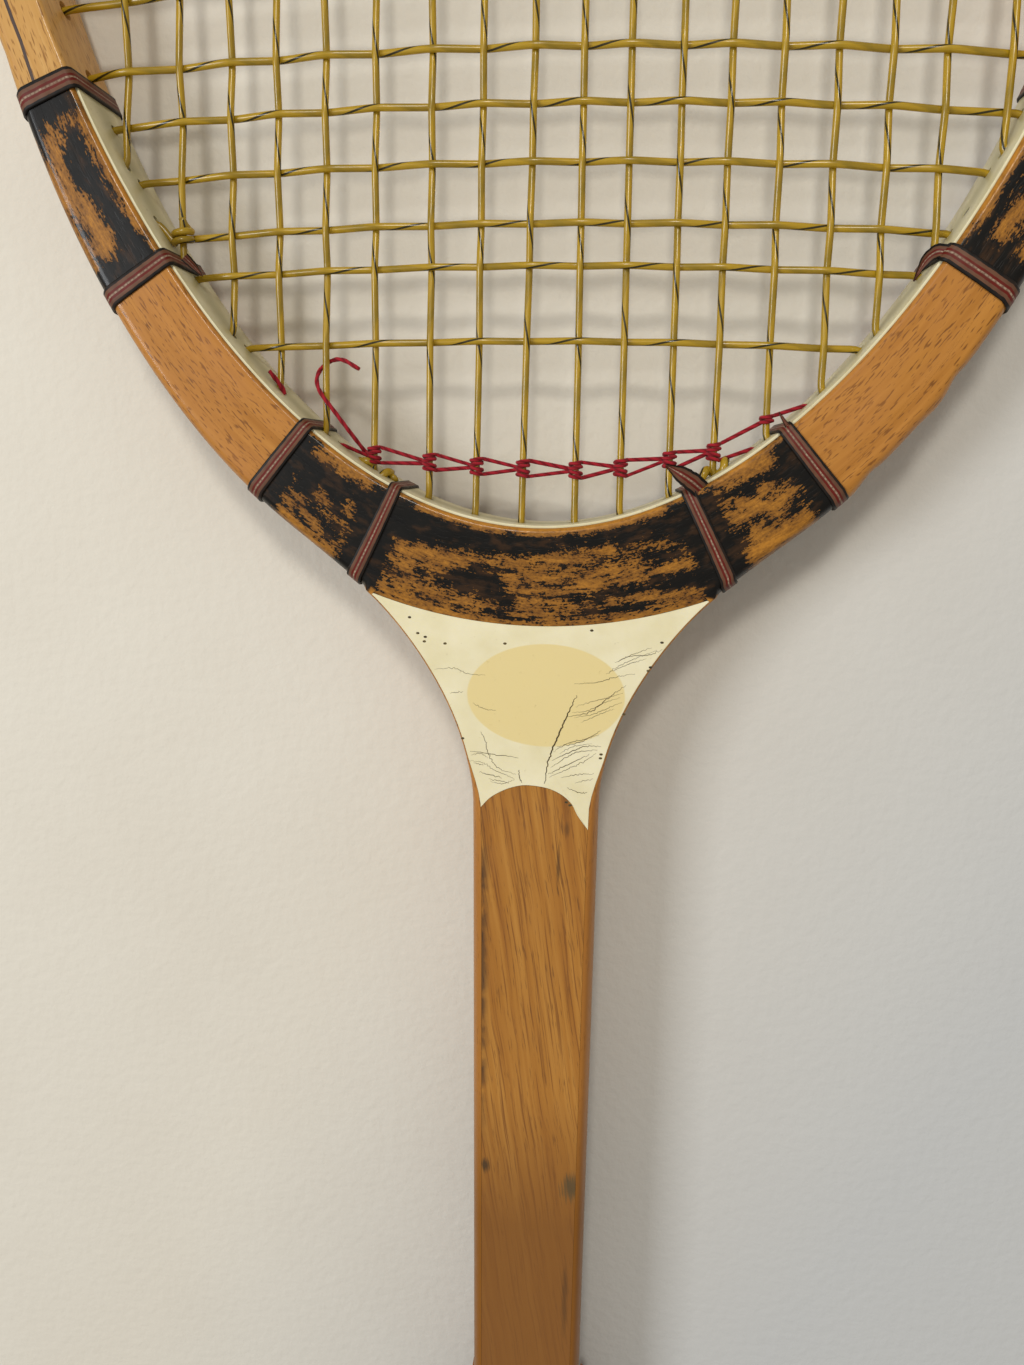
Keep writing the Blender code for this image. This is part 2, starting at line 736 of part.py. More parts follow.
def main_path(mains, runs):
    """One string: up the first main, over the tip, down the next one, back at the throat, and on."""
    path = []
    for i, x in enumerate(mains):
        low, high = main_angles(x)
        upwards = i % 2 == 0
        run = runs[i] if upwards else list(reversed(runs[i]))
        start, end = (low, high) if upwards else (high, low)
        hidden = in_tunnel_zone(i)
        if upwards and hidden:
            run = run[1:]
        if not upwards and hidden:
            run = run[:-1]
        if not (upwards and hidden):
            path.append(through_hoop(start, HOLE_ROW)[1])
        path += run
        if not upwards and hidden:
            path += tunnel(low, main_angles(mains[i + 1])[0], HOLE_ROW)
            continue
        path.append(through_hoop(end, HOLE_ROW)[1])
        if i + 1 < len(mains):
            after = main_angles(mains[i + 1])
            path += tip_or_side_run(end, after[1] if upwards else after[0])
    return path


def tip_or_side_run(first, last):
    """A groove run on the mains' row, which passes the tip where the two ends lie on two sides."""
    if first * last < 0:
        last += 2 * math.pi * math.copysign(1, first)
    return groove_run(first, last, HOLE_ROW)


def main_tie(runs, index, side):
    """The end of the main string, from its hole into the head and round a main string."""
    hole = through_hoop(side * MAIN_TIE_ANGLE, HOLE_ROW)
    start_y = runs[index][0].y + MAIN_TIE_START
    start_turn = 0.0 if side < 0 else 0.5
    turns = wound(runs[index], start_y, TIE_PITCH, TIE_RADIUS, TIE_TURNS, start_turn, 8, side)
    return [hole[1], hole[0]] + turns


def curl(angle, side):
    """The short curled end of a string that comes in through a hole, lying on the inner wall."""
    row = -HOLE_ROW
    points = [at(head_point(angle, -0.6 * BEND_HEIGHT), row)]
    for k in range(5):
        turned = math.radians(-60 + 55 * k)
        along = CURL_RADIUS * (1 - math.cos(math.radians(45) * k))
        above = BEND_HEIGHT + 0.5 * CURL_RADIUS * math.sin(math.radians(40) * k)
        turn = angle + side * along / (HEAD_INNER_LENGTH / 2)
        height = row + CURL_RADIUS * (0.4 + math.sin(turned) + math.sin(math.radians(60)))
        points.append(at(head_point(turn, -above), height))
    return points


def cross_path(crosses, mains, woven):
    """One string: from its tied end over the throat, back and forth across the head to the tip."""
    row = -HOLE_ROW
    start = -CROSS_TIE_ANGLE
    path = list(reversed(curl(start, 1))) + [through_hoop(start, row)[1]]
    path += groove_run(start, -cross_angle(crosses[0]), row)
    for j, place in enumerate(crosses):
        side = -1 if j % 2 == 0 else 1
        angle = cross_angle(place)
        order = range(len(mains)) if side < 0 else reversed(range(len(mains)))
        bend, corner = through_hoop(side * angle, row)
        path += [corner, bend]
        for i in order:
            if (i, j) in woven:
                point, height = woven[i, j]
                path.append(at(point, -height))
        bend, corner = through_hoop(-side * angle, row)
        path += [bend, corner]
        if j + 1 < len(crosses):
            path += groove_run(-side * angle, -side * cross_angle(crosses[j + 1]), row)
    last = -side * angle
    end = last - side * TIP_TIE_SHIFT
    path += groove_run(last, end, row) + [through_hoop(end, row)[1]]
    return path + curl(end, -side)


def drill(name, path, diameter, sides, collection):
    return as_mesh(tube(name, path, diameter, sides, None, collection))


def straight_hole(name, angle, row, depth, diameter, collection):
    path = [at(head_point(angle, -HOLE_LEAD), row), at(head_point(angle, depth), row)]
    return drill(name, path, diameter, HOLE_SIDES, collection)


def string_holes(mains, crosses, collection):
    """Every string's way through the hoop, and the crescent's tunnels, as one set of cutters."""
    holes = []
    for i, x in enumerate(mains):
        low, high = main_angles(x)
        if not in_tunnel_zone(i):
            depth = hoop_width(low) - GROOVE_DEPTH + HOLE_OVERRUN
            holes.append(straight_hole("hole", low, HOLE_ROW, depth, HOLE_DIAMETER, collection))
        elif i % 2 == 1:
            path = tunnel(low, main_angles(mains[i + 1])[0], HOLE_ROW)
            path[0] = at(head_point(low, -HOLE_LEAD), HOLE_ROW)
            path[-1] = at(head_point(main_angles(mains[i + 1])[0], -HOLE_LEAD), HOLE_ROW)
            holes.append(drill("tunnel", path, HOLE_DIAMETER + TUNNEL_CLEARANCE, HOLE_SIDES, collection))
        depth = hoop_width(high) - GROOVE_DEPTH + HOLE_OVERRUN
        holes.append(straight_hole("hole", high, HOLE_ROW, depth, HOLE_DIAMETER, collection))
    cross_turns = [side * cross_angle(place) for place in crosses for side in (-1, 1)]
    last = cross_angle(crosses[-1])
    ties = [-CROSS_TIE_ANGLE, -last - TIP_TIE_SHIFT]
    for angle in cross_turns + ties:
        depth = hoop_width(angle) - GROOVE_DEPTH + HOLE_OVERRUN
        holes.append(straight_hole("hole", angle, -HOLE_ROW, depth, HOLE_DIAMETER, collection))
    for side in (-1, 1):
        angle = side * MAIN_TIE_ANGLE
        depth = hoop_width(angle) - GROOVE_DEPTH + HOLE_OVERRUN
        holes.append(straight_hole("hole", angle, HOLE_ROW, depth, HOLE_DIAMETER, collection))
    for angle in (-LOWER_CORD_HOLE_ANGLE, LOWER_CORD_HOLE_ANGLE, UPPER_CORD_HOLE_ANGLE):
        hole = straight_hole("cord hole", angle, 0.0, CORD_HOLE_DEPTH, CORD_HOLE_DIAMETER, collection)
        holes.append(hole)
    return hide(joined("string_holes", holes, collection))


def groove_cutter(collection):
    """The channel round the hoop's outside that the string loops lie in."""
    sections = []
    span = 2 * (math.pi - GROOVE_START_ANGLE)
    for k in range(GROOVE_STEPS + 1):
        angle = GROOVE_START_ANGLE + span * k / GROOVE_STEPS
        floor = hoop_width(angle) - GROOVE_DEPTH
        corners = [(floor, 1), (floor, -1), (floor + 3 * MM, -1), (floor + 3 * MM, 1)]
        sections.append([at(head_point(angle, d), side * GROOVE_HALF_WIDTH) for d, side in corners])
    return hide(loft("string_groove", sections, False, None, collection))


def upper_cord_path(runs):
    """The lashing's upper strand: wound round each main, then on to the next, then into the hoop."""
    path = []
    for k, lift in enumerate(WRAP_LIFTS):
        run = runs[FIRST_LASHED_MAIN + k]
        path += wound(run, run[0].y + lift, WRAP_PITCH, WRAP_RADIUS, WRAP_TURNS, 0.0, WRAP_POINTS, -1)
    return path + cord_end(UPPER_CORD_HOLE_ANGLE)


def lower_cord_path(runs):
    """The lashing's lower strand: over the front of each main, with both ends in the hoop."""
    path = list(reversed(cord_end(-LOWER_CORD_HOLE_ANGLE)))
    for k in range(LOWER_PASSES):
        run = runs[FIRST_LASHED_MAIN + k]
        y = run[0].y + WRAP_LIFTS[k] - LOWER_PASS_DROP
        path += wound(run, y, 0.0, WRAP_RADIUS, 0.5, 0.0, WRAP_POINTS, -1)
    return path + cord_end(LOWER_CORD_HOLE_ANGLE)


def cord_end(angle):
    depth = CORD_HOLE_DEPTH - 2 * GAP
    return [at(head_point(angle, -BEND_HEIGHT), 0.0), at(head_point(angle, depth), 0.0)]


def smooth(points, steps):
    """A Catmull-Rom curve through the points."""
    ends = [points[0] * 2 - points[1]] + points + [points[-1] * 2 - points[-2]]
    made = []
    for a, b, c, d in zip(ends, ends[1:], ends[2:], ends[3:]):
        for k in range(steps):
            t = k / steps
            made.append(
                0.5 * (2 * b + (c - a) * t + (2 * a - 5 * b + 4 * c - d) * t**2 + (3 * b - a - 3 * c + d) * t**3)
            )
    return made + [points[-1]]


def least_self_gap(path, diameter):
    """The least clear distance between two points of a winding that lie over a half turn apart."""
    least = math.inf
    for k, point in enumerate(path):
        for other in path[k + WRAP_POINTS // 2 + 1 :]:
            least = min(least, (other - point).length - diameter)
    return least


def cord_tail_path(upper_path):
    """The lashing's loose end, which starts a gap away from the wound strand's first point."""
    first, second = upper_path[0], upper_path[1]
    start = first + (first - second).normalized() * GAP
    lead = start + (first - second).normalized() * CORD_DIAMETER
    hub = first + Vector((WRAP_RADIUS, 0, 0))
    places = [at(Vector((hub.x + x * MM, hub.y + y * MM)), z * MM) for x, y, z in CORD_TAIL]
    return smooth([start, lead] + places, 2)


def grip_octagon(inwards):
    """The grip's outline as (across, height) pairs, moved inwards evenly."""
    half_width = GRIP_WIDTH / 2 - inwards
    half_depth = GRIP_DEPTH / 2 - inwards
    narrowing = inwards * (2 - math.sqrt(2))
    return octagon(half_width, half_depth, GRIP_CORNER_ACROSS - narrowing, GRIP_CORNER_DOWN - narrowing)


def octagon(half_width, half_depth, corner_across, corner_down):
    flat_x, flat_z = half_width - corner_across, half_depth - corner_down
    quarter = [(half_width, flat_z), (flat_x, half_depth)]
    upper = quarter + [(-x, z) for x, z in reversed(quarter)]
    return upper + [(-x, -z) for x, z in upper]


def on_edge(outline, fixed, value):
    """The other coordinate of the octagon's upper right bevel where one coordinate has a value."""
    (x1, z1), (x2, z2) = outline[0], outline[1]
    if fixed == "height":
        return x1 + (x2 - x1) * (value - z1) / (z2 - z1)
    return z1 + (z2 - z1) * (value - x1) / (x2 - x1)


def pallet_sections(full, tapered):
    """A pallet's corners at the butt end, at the handle's top and at the end of its taper."""
    sections = []
    for y, corners in ((HANDLE_FOOT_Y, full), (HANDLE_TOP_Y, full), (PALLET_END_Y, tapered)):
        sections.append([Vector((x, y, MIDDLE_Z + z)) for x, z in corners])
    return sections


def make_handle(collection, wood, leather, rubber, vinyl):
    outline = grip_octagon(LEATHER_THICKNESS + GAP)
    top_flat = outline[1][0]
    wood_top, wood_side = outline[1][1], outline[0][0]
    face = CORE_HALF_DEPTH + GAP
    face_x = on_edge(outline, "height", face)
    side = SHAFT_HALF_WIDTH_AT_GRIP + GAP
    side_z = on_edge(outline, "across", side)
    for name, sign in (("handle_pallet_front", 1), ("handle_pallet_back", -1)):
        full = [(-face_x, face), (face_x, face), (top_flat, wood_top), (-top_flat, wood_top)]
        low = face + PALLET_TAPER_LEFT
        thin = [(-top_flat - MM, face), (top_flat + MM, face), (top_flat, low), (-top_flat, low)]
        full, thin = [(x, sign * z) for x, z in full], [(x, sign * z) for x, z in thin]
        loft(name, pallet_sections(full, thin), False, wood, collection)
    for name, sign in (("handle_pallet_right", 1), ("handle_pallet_left", -1)):
        flat_z = outline[0][1]
        full = [(side, -side_z), (wood_side, -flat_z), (wood_side, flat_z), (side, side_z)]
        out = side + PALLET_TAPER_LEFT
        thin = [(side, -flat_z - MM), (out, -flat_z), (out, flat_z), (side, flat_z + MM)]
        full, thin = [(sign * x, z) for x, z in full], [(sign * x, z) for x, z in thin]
        loft(name, pallet_sections(full, thin), False, wood, collection)
    upright = (math.pi / 2, 0, 0)
    length = HANDLE_TOP_Y - HANDLE_FOOT_Y
    place = (0, (HANDLE_TOP_Y + HANDLE_FOOT_Y) / 2, MIDDLE_Z)
    rings = [grip_octagon(0.0), grip_octagon(LEATHER_THICKNESS)]
    flat_outline("leather_grip", rings, length / 2, place, upright, leather, collection)
    place = (0, HANDLE_TOP_Y - COLLAR_LENGTH / 2, MIDDLE_Z)
    rings = [grip_octagon(-GAP - COLLAR_THICKNESS), grip_octagon(-GAP)]
    flat_outline("grip_collar", rings, COLLAR_LENGTH / 2, place, upright, rubber, collection)
    half_width, half_depth = BUTT_WIDTH / 2, BUTT_DEPTH / 2
    drops = ((0.0, BUTT_ROUND), (BUTT_ROUND, 0.0), (BUTT_LENGTH - 2 * BUTT_ROUND, 0.0), (BUTT_LENGTH, BUTT_ROUND))
    sections = []
    for along, inwards in drops:
        corners = octagon(
            half_width - inwards, half_depth - inwards, GRIP_CORNER_ACROSS, GRIP_CORNER_DOWN
        )
        sections.append([Vector((x, BUTT_Y + along, MIDDLE_Z + z)) for x, z in corners])
    loft("butt_cap", sections, False, vinyl, collection)


def plate_recess(points, places, collection):
    """The cutter for both faces' plates."""
    outline = recess_outline(plate_edge(points, places, 0.0))
    depth = HALF_DEPTH - CORE_HALF_DEPTH + 1 * MM
    halves = []
    for sign in (1, -1):
        place = (0, 0, MIDDLE_Z + sign * (CORE_HALF_DEPTH + depth / 2))
        half = flat_outline("recess", [outline], depth / 2, place, (0, 0, 0), None, collection)
        halves.append(as_mesh(half))
    return hide(joined("plate_recess", halves, collection))


def make_frame(points, places, holes, groove, recess, collection, beech, maple, fibre, cream):
    bow = ply_along("outer_lamination", points, places, outer_ply_profile, beech, collection)
    dark = ply_along("fibre_lamination", points, places, fibre_profile, fibre, collection)
    ring = loft("inner_lamination", inner_ply_sections(), True, maple, collection)
    facing = loft("inner_facing", facing_sections(), False, cream, collection)
    bow_inside = right_half(inset(points, FIBRE_END + GAP))
    middle, level = (0, 0, MIDDLE_Z), (0, 0, 0)
    outline = crescent_outline(bow_inside)
    crescent = flat_outline("throat_crescent", [outline], HALF_DEPTH, middle, level, beech, collection)
    outline = wedge_outline(bow_inside)
    flat_outline("throat_wedge", [outline], CORE_HALF_DEPTH, middle, level, beech, collection)
    outline = core_outline(bow_inside)
    flat_outline("shaft_core", [outline], CORE_HALF_DEPTH, middle, level, maple, collection)
    crescent = as_mesh(crescent)
    for thing in (bow, dark, ring, facing, crescent):
        cut(thing, holes)
    cut(bow, groove)
    cut(bow, recess)
    cut(dark, recess)


def make_plates(points, places, collection, cream, wood):
    height = CORE_HALF_DEPTH + GAP + PLATE_THICKNESS / 2
    level = (0, 0, 0)
    edge = plate_edge(points, places, GAP)
    for side, sign in (("front", 1), ("back", -1)):
        place = (0, 0, MIDDLE_Z + sign * height)
        outline = overlay_outline(edge)
        flat_outline("throat_overlay_" + side, [outline], PLATE_THICKNESS / 2, place, level, cream, collection)
        outline = face_outline(edge)
        flat_outline("shaft_face_" + side, [outline], PLATE_THICKNESS / 2, place, level, wood, collection)


def make_bindings(holes, collection, tape):
    for side, sign in (("left", -1), ("right", 1)):
        for k, angle in enumerate(BINDING_ANGLES):
            name = f"binding_{side}_{k + 1}"
            band = loft(name, binding_sections(sign * angle), True, tape, collection)
            cut(band, holes)


def make_strings(mains, crosses, collection, gut, red):
    woven = crossings(mains, crosses)
    runs = main_runs(mains, crosses, woven)
    first, last = main_angles(mains[0])[0], main_angles(mains[-1])[0]
    start = list(reversed(main_tie(runs, 1, -1)))
    path = start + groove_run(-MAIN_TIE_ANGLE, first, HOLE_ROW) + main_path(mains, runs)
    path += groove_run(last, MAIN_TIE_ANGLE, HOLE_ROW) + main_tie(runs, MAIN_COUNT - 2, 1)
    tube("main_string", path, STRING_DIAMETER, STRING_SIDES, gut, collection)
    path = cross_path(crosses, mains, woven)
    tube("cross_string", path, STRING_DIAMETER, STRING_SIDES, gut, collection)
    upper = upper_cord_path(runs)
    tube("lashing_cord_upper", upper, CORD_DIAMETER, CORD_SIDES, red, collection, "MINIMUM")
    lower = lower_cord_path(runs)
    tube("lashing_cord_lower", lower, CORD_DIAMETER, CORD_SIDES, red, collection, "MINIMUM")
    tail = cord_tail_path(upper)
    tube("lashing_cord_tail", tail, CORD_DIAMETER, TAIL_SIDES, red, collection, "MINIMUM")
    length = sum((b - a).length for a, b in zip(tail, tail[1:]))
    print(f"loose end of the cord: {length / MM:.1f} mm")
    ties = [main_tie(runs, 1, -1), main_tie(runs, MAIN_COUNT - 2, 1)]
    tie_gap = min(least_self_gap(tie[2:], STRING_DIAMETER) for tie in ties)
    print(f"least self-gap of the string's tied ends: {tie_gap / MM:.2f} mm")
    print(f"least self-gap of the cord's wraps: {least_self_gap(upper, CORD_DIAMETER) / MM:.2f} mm")
    print(f"crossings of the strings: {len(woven)}")


for old in list(bpy.data.objects):
    bpy.data.objects.remove(old, do_unlink=True)
racket = new_collection("wooden tennis racket")
cutters = new_collection("cutters")

beech_wood = material("beech", (0.58, 0.27, 0.07), 0.35)
maple_wood = material("maple", (0.60, 0.36, 0.13), 0.35)
face_wood = material("shaft face ash", (0.45, 0.21, 0.05), 0.35)
dark_fibre = material("dark fibre", (0.09, 0.05, 0.03), 0.5)
cream_plate = material("cream celluloid", (0.80, 0.74, 0.48), 0.3)
binding_tape = material("binding tape", (0.10, 0.05, 0.04), 0.45)
amber_gut = material("amber string", (0.40, 0.26, 0.02), 0.3)
red_cord = material("red cord", (0.40, 0.02, 0.03), 0.7)
grip_leather = material("grip leather", (0.12, 0.05, 0.02), 0.7)
collar_rubber = material("collar rubber", (0.02, 0.02, 0.02), 0.7)
butt_vinyl = material("butt vinyl", (0.03, 0.02, 0.02), 0.4)

side_points, side_places = silhouette()
main_strings, cross_strings = main_places(), cross_places()
hole_cutters = string_holes(main_strings, cross_strings, cutters)
groove_tool = groove_cutter(cutters)
recess_tool = plate_recess(side_points, side_places, cutters)
make_frame(
    side_points,
    side_places,
    hole_cutters,
    groove_tool,
    recess_tool,
    racket,
    beech_wood,
    maple_wood,
    dark_fibre,
    cream_plate,
)
make_plates(side_points, side_places, racket, cream_plate, face_wood)
make_bindings(hole_cutters, racket, binding_tape)
make_strings(main_strings, cross_strings, racket, amber_gut, red_cord)
make_handle(racket, beech_wood, grip_leather, collar_rubber, butt_vinyl)
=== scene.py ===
from functools import partial
from math import asin, atan2, copysign, cos, degrees, exp, fmod, hypot, pi, radians, sin, sqrt

import bmesh
import bpy
from mathutils import Matrix, Vector, noise


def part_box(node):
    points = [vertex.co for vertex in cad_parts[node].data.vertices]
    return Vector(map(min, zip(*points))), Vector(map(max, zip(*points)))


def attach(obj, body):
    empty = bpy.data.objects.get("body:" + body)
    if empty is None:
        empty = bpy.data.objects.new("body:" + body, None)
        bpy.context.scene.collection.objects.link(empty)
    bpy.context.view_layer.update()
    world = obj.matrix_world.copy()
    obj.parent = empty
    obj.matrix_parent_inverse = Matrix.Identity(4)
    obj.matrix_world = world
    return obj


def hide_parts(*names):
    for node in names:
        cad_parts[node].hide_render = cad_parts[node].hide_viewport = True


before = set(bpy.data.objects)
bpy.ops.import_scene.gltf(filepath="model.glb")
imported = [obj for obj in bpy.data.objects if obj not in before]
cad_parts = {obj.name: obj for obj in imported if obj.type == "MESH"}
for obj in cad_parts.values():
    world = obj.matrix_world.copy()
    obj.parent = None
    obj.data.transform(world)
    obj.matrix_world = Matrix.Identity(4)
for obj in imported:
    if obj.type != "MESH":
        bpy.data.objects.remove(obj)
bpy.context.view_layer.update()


# Photo view: the racket hangs face out on a painted wall, and the camera is 205 mm in front of the strings.
# The butt rests on the wall. A lamp above makes the strings' shadows, and a large window on the left the
# broad ones, in a soft pale room. Towards the lower right, the wall's colour holds painted shade.

MM = 0.001
butt_low, butt_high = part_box("butt_cap")
string_plane = (butt_low[2] + butt_high[2]) / 2
tip_y = butt_low[1] + 686 * MM
CAMERA_PLACE = (13.0 * MM, 78.4 * MM, string_plane + 205 * MM)
TIP_BACK = string_plane - 12.85 * MM
LAMP_TARGET = Vector((0, 0.08, 0))

# How add fills a node: the inputs its plain values go to, its settings, and the output that it gives.
INPUTS = {
    "Mix": (0, 6, 7),
    "Mapping": ("Vector", "Scale"),
    "TexNoise": ("Vector", "Scale", "Detail", "Roughness"),
    "TexVoronoi": ("Vector", "Scale", "Randomness"),
    "TexWave": ("Vector", "Scale", "Distortion"),
    "Bump": ("Height", "Strength", "Distance"),
    "BsdfPrincipled": ("Base Color", "Roughness", "Normal"),
}
SETTINGS = {"Mix": {"data_type": "RGBA"}}
OUTPUTS = {"Mix": 2, "TexCoord": "Object", "Attribute": "Vector"}


def linear(code, alpha=1.0):
    """A colour written as sRGB hex, in the renderer's linear values."""
    values = [int(code[k : k + 2], 16) / 255 for k in (1, 3, 5)]
    return (*[v / 12.92 if v <= 0.04045 else ((v + 0.055) / 1.055) ** 2.4 for v in values], alpha)


def add_to(tree, kind, *values, stops=(), out=None, **named):
    """Adds one shader node and gives one of its outputs. Values are numbers, hex colours or links.

    Among the named ones, small letters are settings, and capitals are inputs with _ for a space.
    """
    made = tree.nodes.new("ShaderNode" + kind)
    inputs = dict(zip(INPUTS.get(kind, range(9)), values))
    for name, value in {**SETTINGS.get(kind, {}), **named}.items():
        if name.islower():
            setattr(made, name, value)
        else:
            inputs[name.replace("_", " ")] = value
    for name, value in inputs.items():
        if isinstance(value, bpy.types.NodeSocket):
            tree.links.new(value, made.inputs[name])
        else:
            made.inputs[name].default_value = linear(value) if isinstance(value, str) else value
    for number, (place, colour) in enumerate(stops):
        if number > 1:
            made.color_ramp.elements.new(place)
        made.color_ramp.elements[number].position = place
        made.color_ramp.elements[number].color = linear(colour)
    return made.outputs[OUTPUTS.get(kind, 0) if out is None else out] if made.outputs else None


def new_material(name):
    """A material with no nodes, and the function that adds a node to it."""
    made = bpy.data.materials.new(name)
    made.use_nodes = True
    made.node_tree.nodes.clear()
    return made, partial(add_to, made.node_tree)


camera_data = bpy.data.cameras.new("photo_camera")
camera = bpy.data.objects.new("photo_camera", camera_data)
bpy.context.scene.collection.objects.link(camera)
camera_data.sensor_width, camera_data.lens, camera_data.clip_start = 36.0, 27.0, 0.01
right = Vector((0.99556, 0.01125, -0.09312))
down = Vector((0.03038, -0.97794, 0.20667))
ahead = Vector((-0.08874, -0.20858, -0.97394))
turned = Matrix((right, -down, -ahead)).transposed().to_4x4()
camera.matrix_world = Matrix.Translation(CAMERA_PLACE) @ turned
bpy.context.scene.camera = camera

# The wall touches the butt and is 3.6 mm behind the hoop at the tip, where the racket hangs from a peg.
lean = atan2(TIP_BACK, tip_y - butt_low[1])
bpy.ops.mesh.primitive_plane_add(size=3.0, location=(0, 0, TIP_BACK / 2 - 0.1 * MM), rotation=(lean, 0, 0))
wall = bpy.context.object
wall.name = "wall"
painted_wall, add = new_material("matt emulsion paint on plaster, rolled")
where = add("TexCoord")
dabs = add("TexNoise", where, 1 / (2.6 * MM), 3)
patches = add("TexNoise", where, 1 / (60 * MM), 3)
tone = add("ValToRGB", patches, stops=((0.3, "#DBD5C9"), (0.7, "#E0DBD0")))
# Painted shade: towards the lower right the wall's colour is mixed with a darker grey, as if a broad shadow
# fell there.
x, y, _ = add("SeparateXYZ", where).node.outputs
rightwards = add("Math", y, -0.5, x, operation="MULTIPLY_ADD")
painted_shade_lower_right = add("Mix", add("MapRange", rightwards, -30 * MM, 130 * MM, 0, 0.85), tone, "#C2C5C8")
add("OutputMaterial", add("BsdfPrincipled", painted_shade_lower_right, 0.75, add("Bump", dabs, 0.4, 0.6 * MM)))
wall.data.materials.append(painted_wall)

for name, place, size, energy, colour in (
    ("ceiling_lamp", (0.01, 0.68, 1.02), 0.16, 4.6, (1.0, 0.95, 0.86)),
    ("window", (-0.82, 0.20, 0.95), 0.36, 6.6, (0.95, 0.975, 1.0)),
):
    lamp_data = bpy.data.lights.new(name, "AREA")
    lamp_data.size, lamp_data.energy, lamp_data.color = size, energy, colour
    lamp = bpy.data.objects.new(name, lamp_data)
    bpy.context.scene.collection.objects.link(lamp)
    lamp.location = place
    lamp.rotation_euler = (lamp.location - LAMP_TARGET).to_track_quat("Z", "Y").to_euler()
room = bpy.data.worlds.new("room")
bpy.context.scene.world = room
room.use_nodes = True
room.node_tree.nodes["Background"].inputs["Color"].default_value = linear("#FBF6EC")
room.node_tree.nodes["Background"].inputs["Strength"].default_value = 0.42
bpy.context.scene.view_settings.view_transform = "Standard"


# Inner lamination: a strip of steamed maple bent into the closed egg of the head, varnished and, in zones
# between the bindings, painted black. The paint is worn off in patches. String holes are drilled through
# the ring and the plies outside it, and countersunk inside.

GAP = 0.3 * MM
HEAD_INNER_LENGTH = 266 * MM
HEAD_INNER_WIDTH = 200.7 * MM
HEAD_EGG = 0.14
WIDEST_ANGLE = radians(98)
HOOP_WIDTH = 10.5 * MM
HALF_DEPTH = 9.25 * MM
THROAT_WIDTH = 18.7 * MM
SWELL_ANGLE = radians(70)
FLARE_WIDTH = 1.9 * MM
FLARE_ANGLE = radians(26)
SHOULDER_ANGLE = radians(17.5)
HEAD_CENTRE_Y = tip_y - HOOP_WIDTH - HEAD_INNER_LENGTH / 2
THROAT_Y = HEAD_CENTRE_Y - HEAD_INNER_LENGTH / 2
INNER_TIP_Y = HEAD_CENTRE_Y + HEAD_INNER_LENGTH / 2
BINDING_ANGLES = tuple(radians(a) for a in (66.3, 50.7, 30.6, 18.6))
UPPER_EDGE = BINDING_ANGLES[0]
FACING_THICKNESS = 0.5 * MM
INNER_PLY_END = 5.2 * MM
PLY_JOINT = 0.02 * MM
FIBRE_OUTSIDE = 4.4 * MM
FIBRE_INSIDE = 5.0 * MM
INNER_ROUNDING = 0.9 * MM
GRAIN_RADIUS = 118 * MM
STEP_RADIUS = 120 * MM
BARE = -5.0


def folded(angle):
    """The angle from the throat, 0 to pi, whichever side it is on."""
    angle = fmod(abs(angle), 2 * pi)
    return min(angle, 2 * pi - angle)


def head_tangent(angle):
    across = HEAD_INNER_WIDTH / 2 * (cos(angle) - HEAD_EGG * cos(2 * angle))
    return Vector((across, HEAD_INNER_LENGTH / 2 * sin(angle))).normalized()


def head_point(angle, outwards=0.0):
    """A point of the egg-shaped inner outline, 0 at the throat, moved outwards."""
    x = HEAD_INNER_WIDTH / 2 * sin(angle) * (1 - HEAD_EGG * cos(angle))
    y = HEAD_CENTRE_Y - HEAD_INNER_LENGTH / 2 * cos(angle)
    tangent = head_tangent(angle)
    return Vector((x + tangent.y * outwards, y - tangent.x * outwards))


def hoop_width(angle):
    share = min(folded(angle) / SWELL_ANGLE, 1.0)
    flare = max(FLARE_ANGLE - folded(angle), 0.0) / (FLARE_ANGLE - SHOULDER_ANGLE)
    return THROAT_WIDTH - (THROAT_WIDTH - HOOP_WIDTH) * share**2 + FLARE_WIDTH * flare**2


joint = head_point(SHOULDER_ANGLE, hoop_width(SHOULDER_ANGLE))
apex = Vector((0, THROAT_Y - THROAT_WIDTH))
ARC_RADIUS = (joint.x**2 + (joint.y - apex.y) ** 2) / (2 * (joint.y - apex.y))
arc_centre = apex + Vector((0, ARC_RADIUS))


def band_width(angle):
    """The painted hoop's width: out to its side, or to the throat's arc between the shoulders."""
    if folded(angle) >= SHOULDER_ANGLE:
        return hoop_width(angle)
    start, tangent = head_point(angle) - arc_centre, head_tangent(angle)
    along = start.dot(Vector((tangent.y, -tangent.x)))
    return -along + sqrt(along * along - start.length_squared + ARC_RADIUS**2)


def at(flat, height):
    """A point of the racket's plane at a height over the string plane."""
    return Vector((flat[0], flat[1], string_plane + height))


def spots(places):
    """Points from a row of places in mm: across, up the racket, and over the string plane."""
    numbers = [float(word) for word in places.split()]
    return [at(Vector((x, y)) * MM, z * MM) for x, y, z in zip(*[iter(numbers)] * 3)]


def turns(first, last, step=radians(0.5)):
    """Even angles from the first to the last."""
    count = max(1, round((last - first) / step))
    return [first + (last - first) * k / count for k in range(count + 1)]


def mirrored(upper):
    """A section's upper half, as (distance, height), with the lower half after it."""
    return upper + [(d, -h) for d, h in reversed(upper)]


def direction(line, k):
    """Which way the line goes at one of its points."""
    return (line[min(k + 1, len(line) - 1)] - line[max(k - 1, 0)]).normalized()


def link(name, shape):
    """A new object of this bmesh."""
    bmesh.ops.recalc_face_normals(shape, faces=shape.faces)
    mesh = bpy.data.meshes.new(name)
    shape.to_mesh(mesh)
    shape.free()
    made = bpy.data.objects.new(name, mesh)
    bpy.context.scene.collection.objects.link(made)
    return made


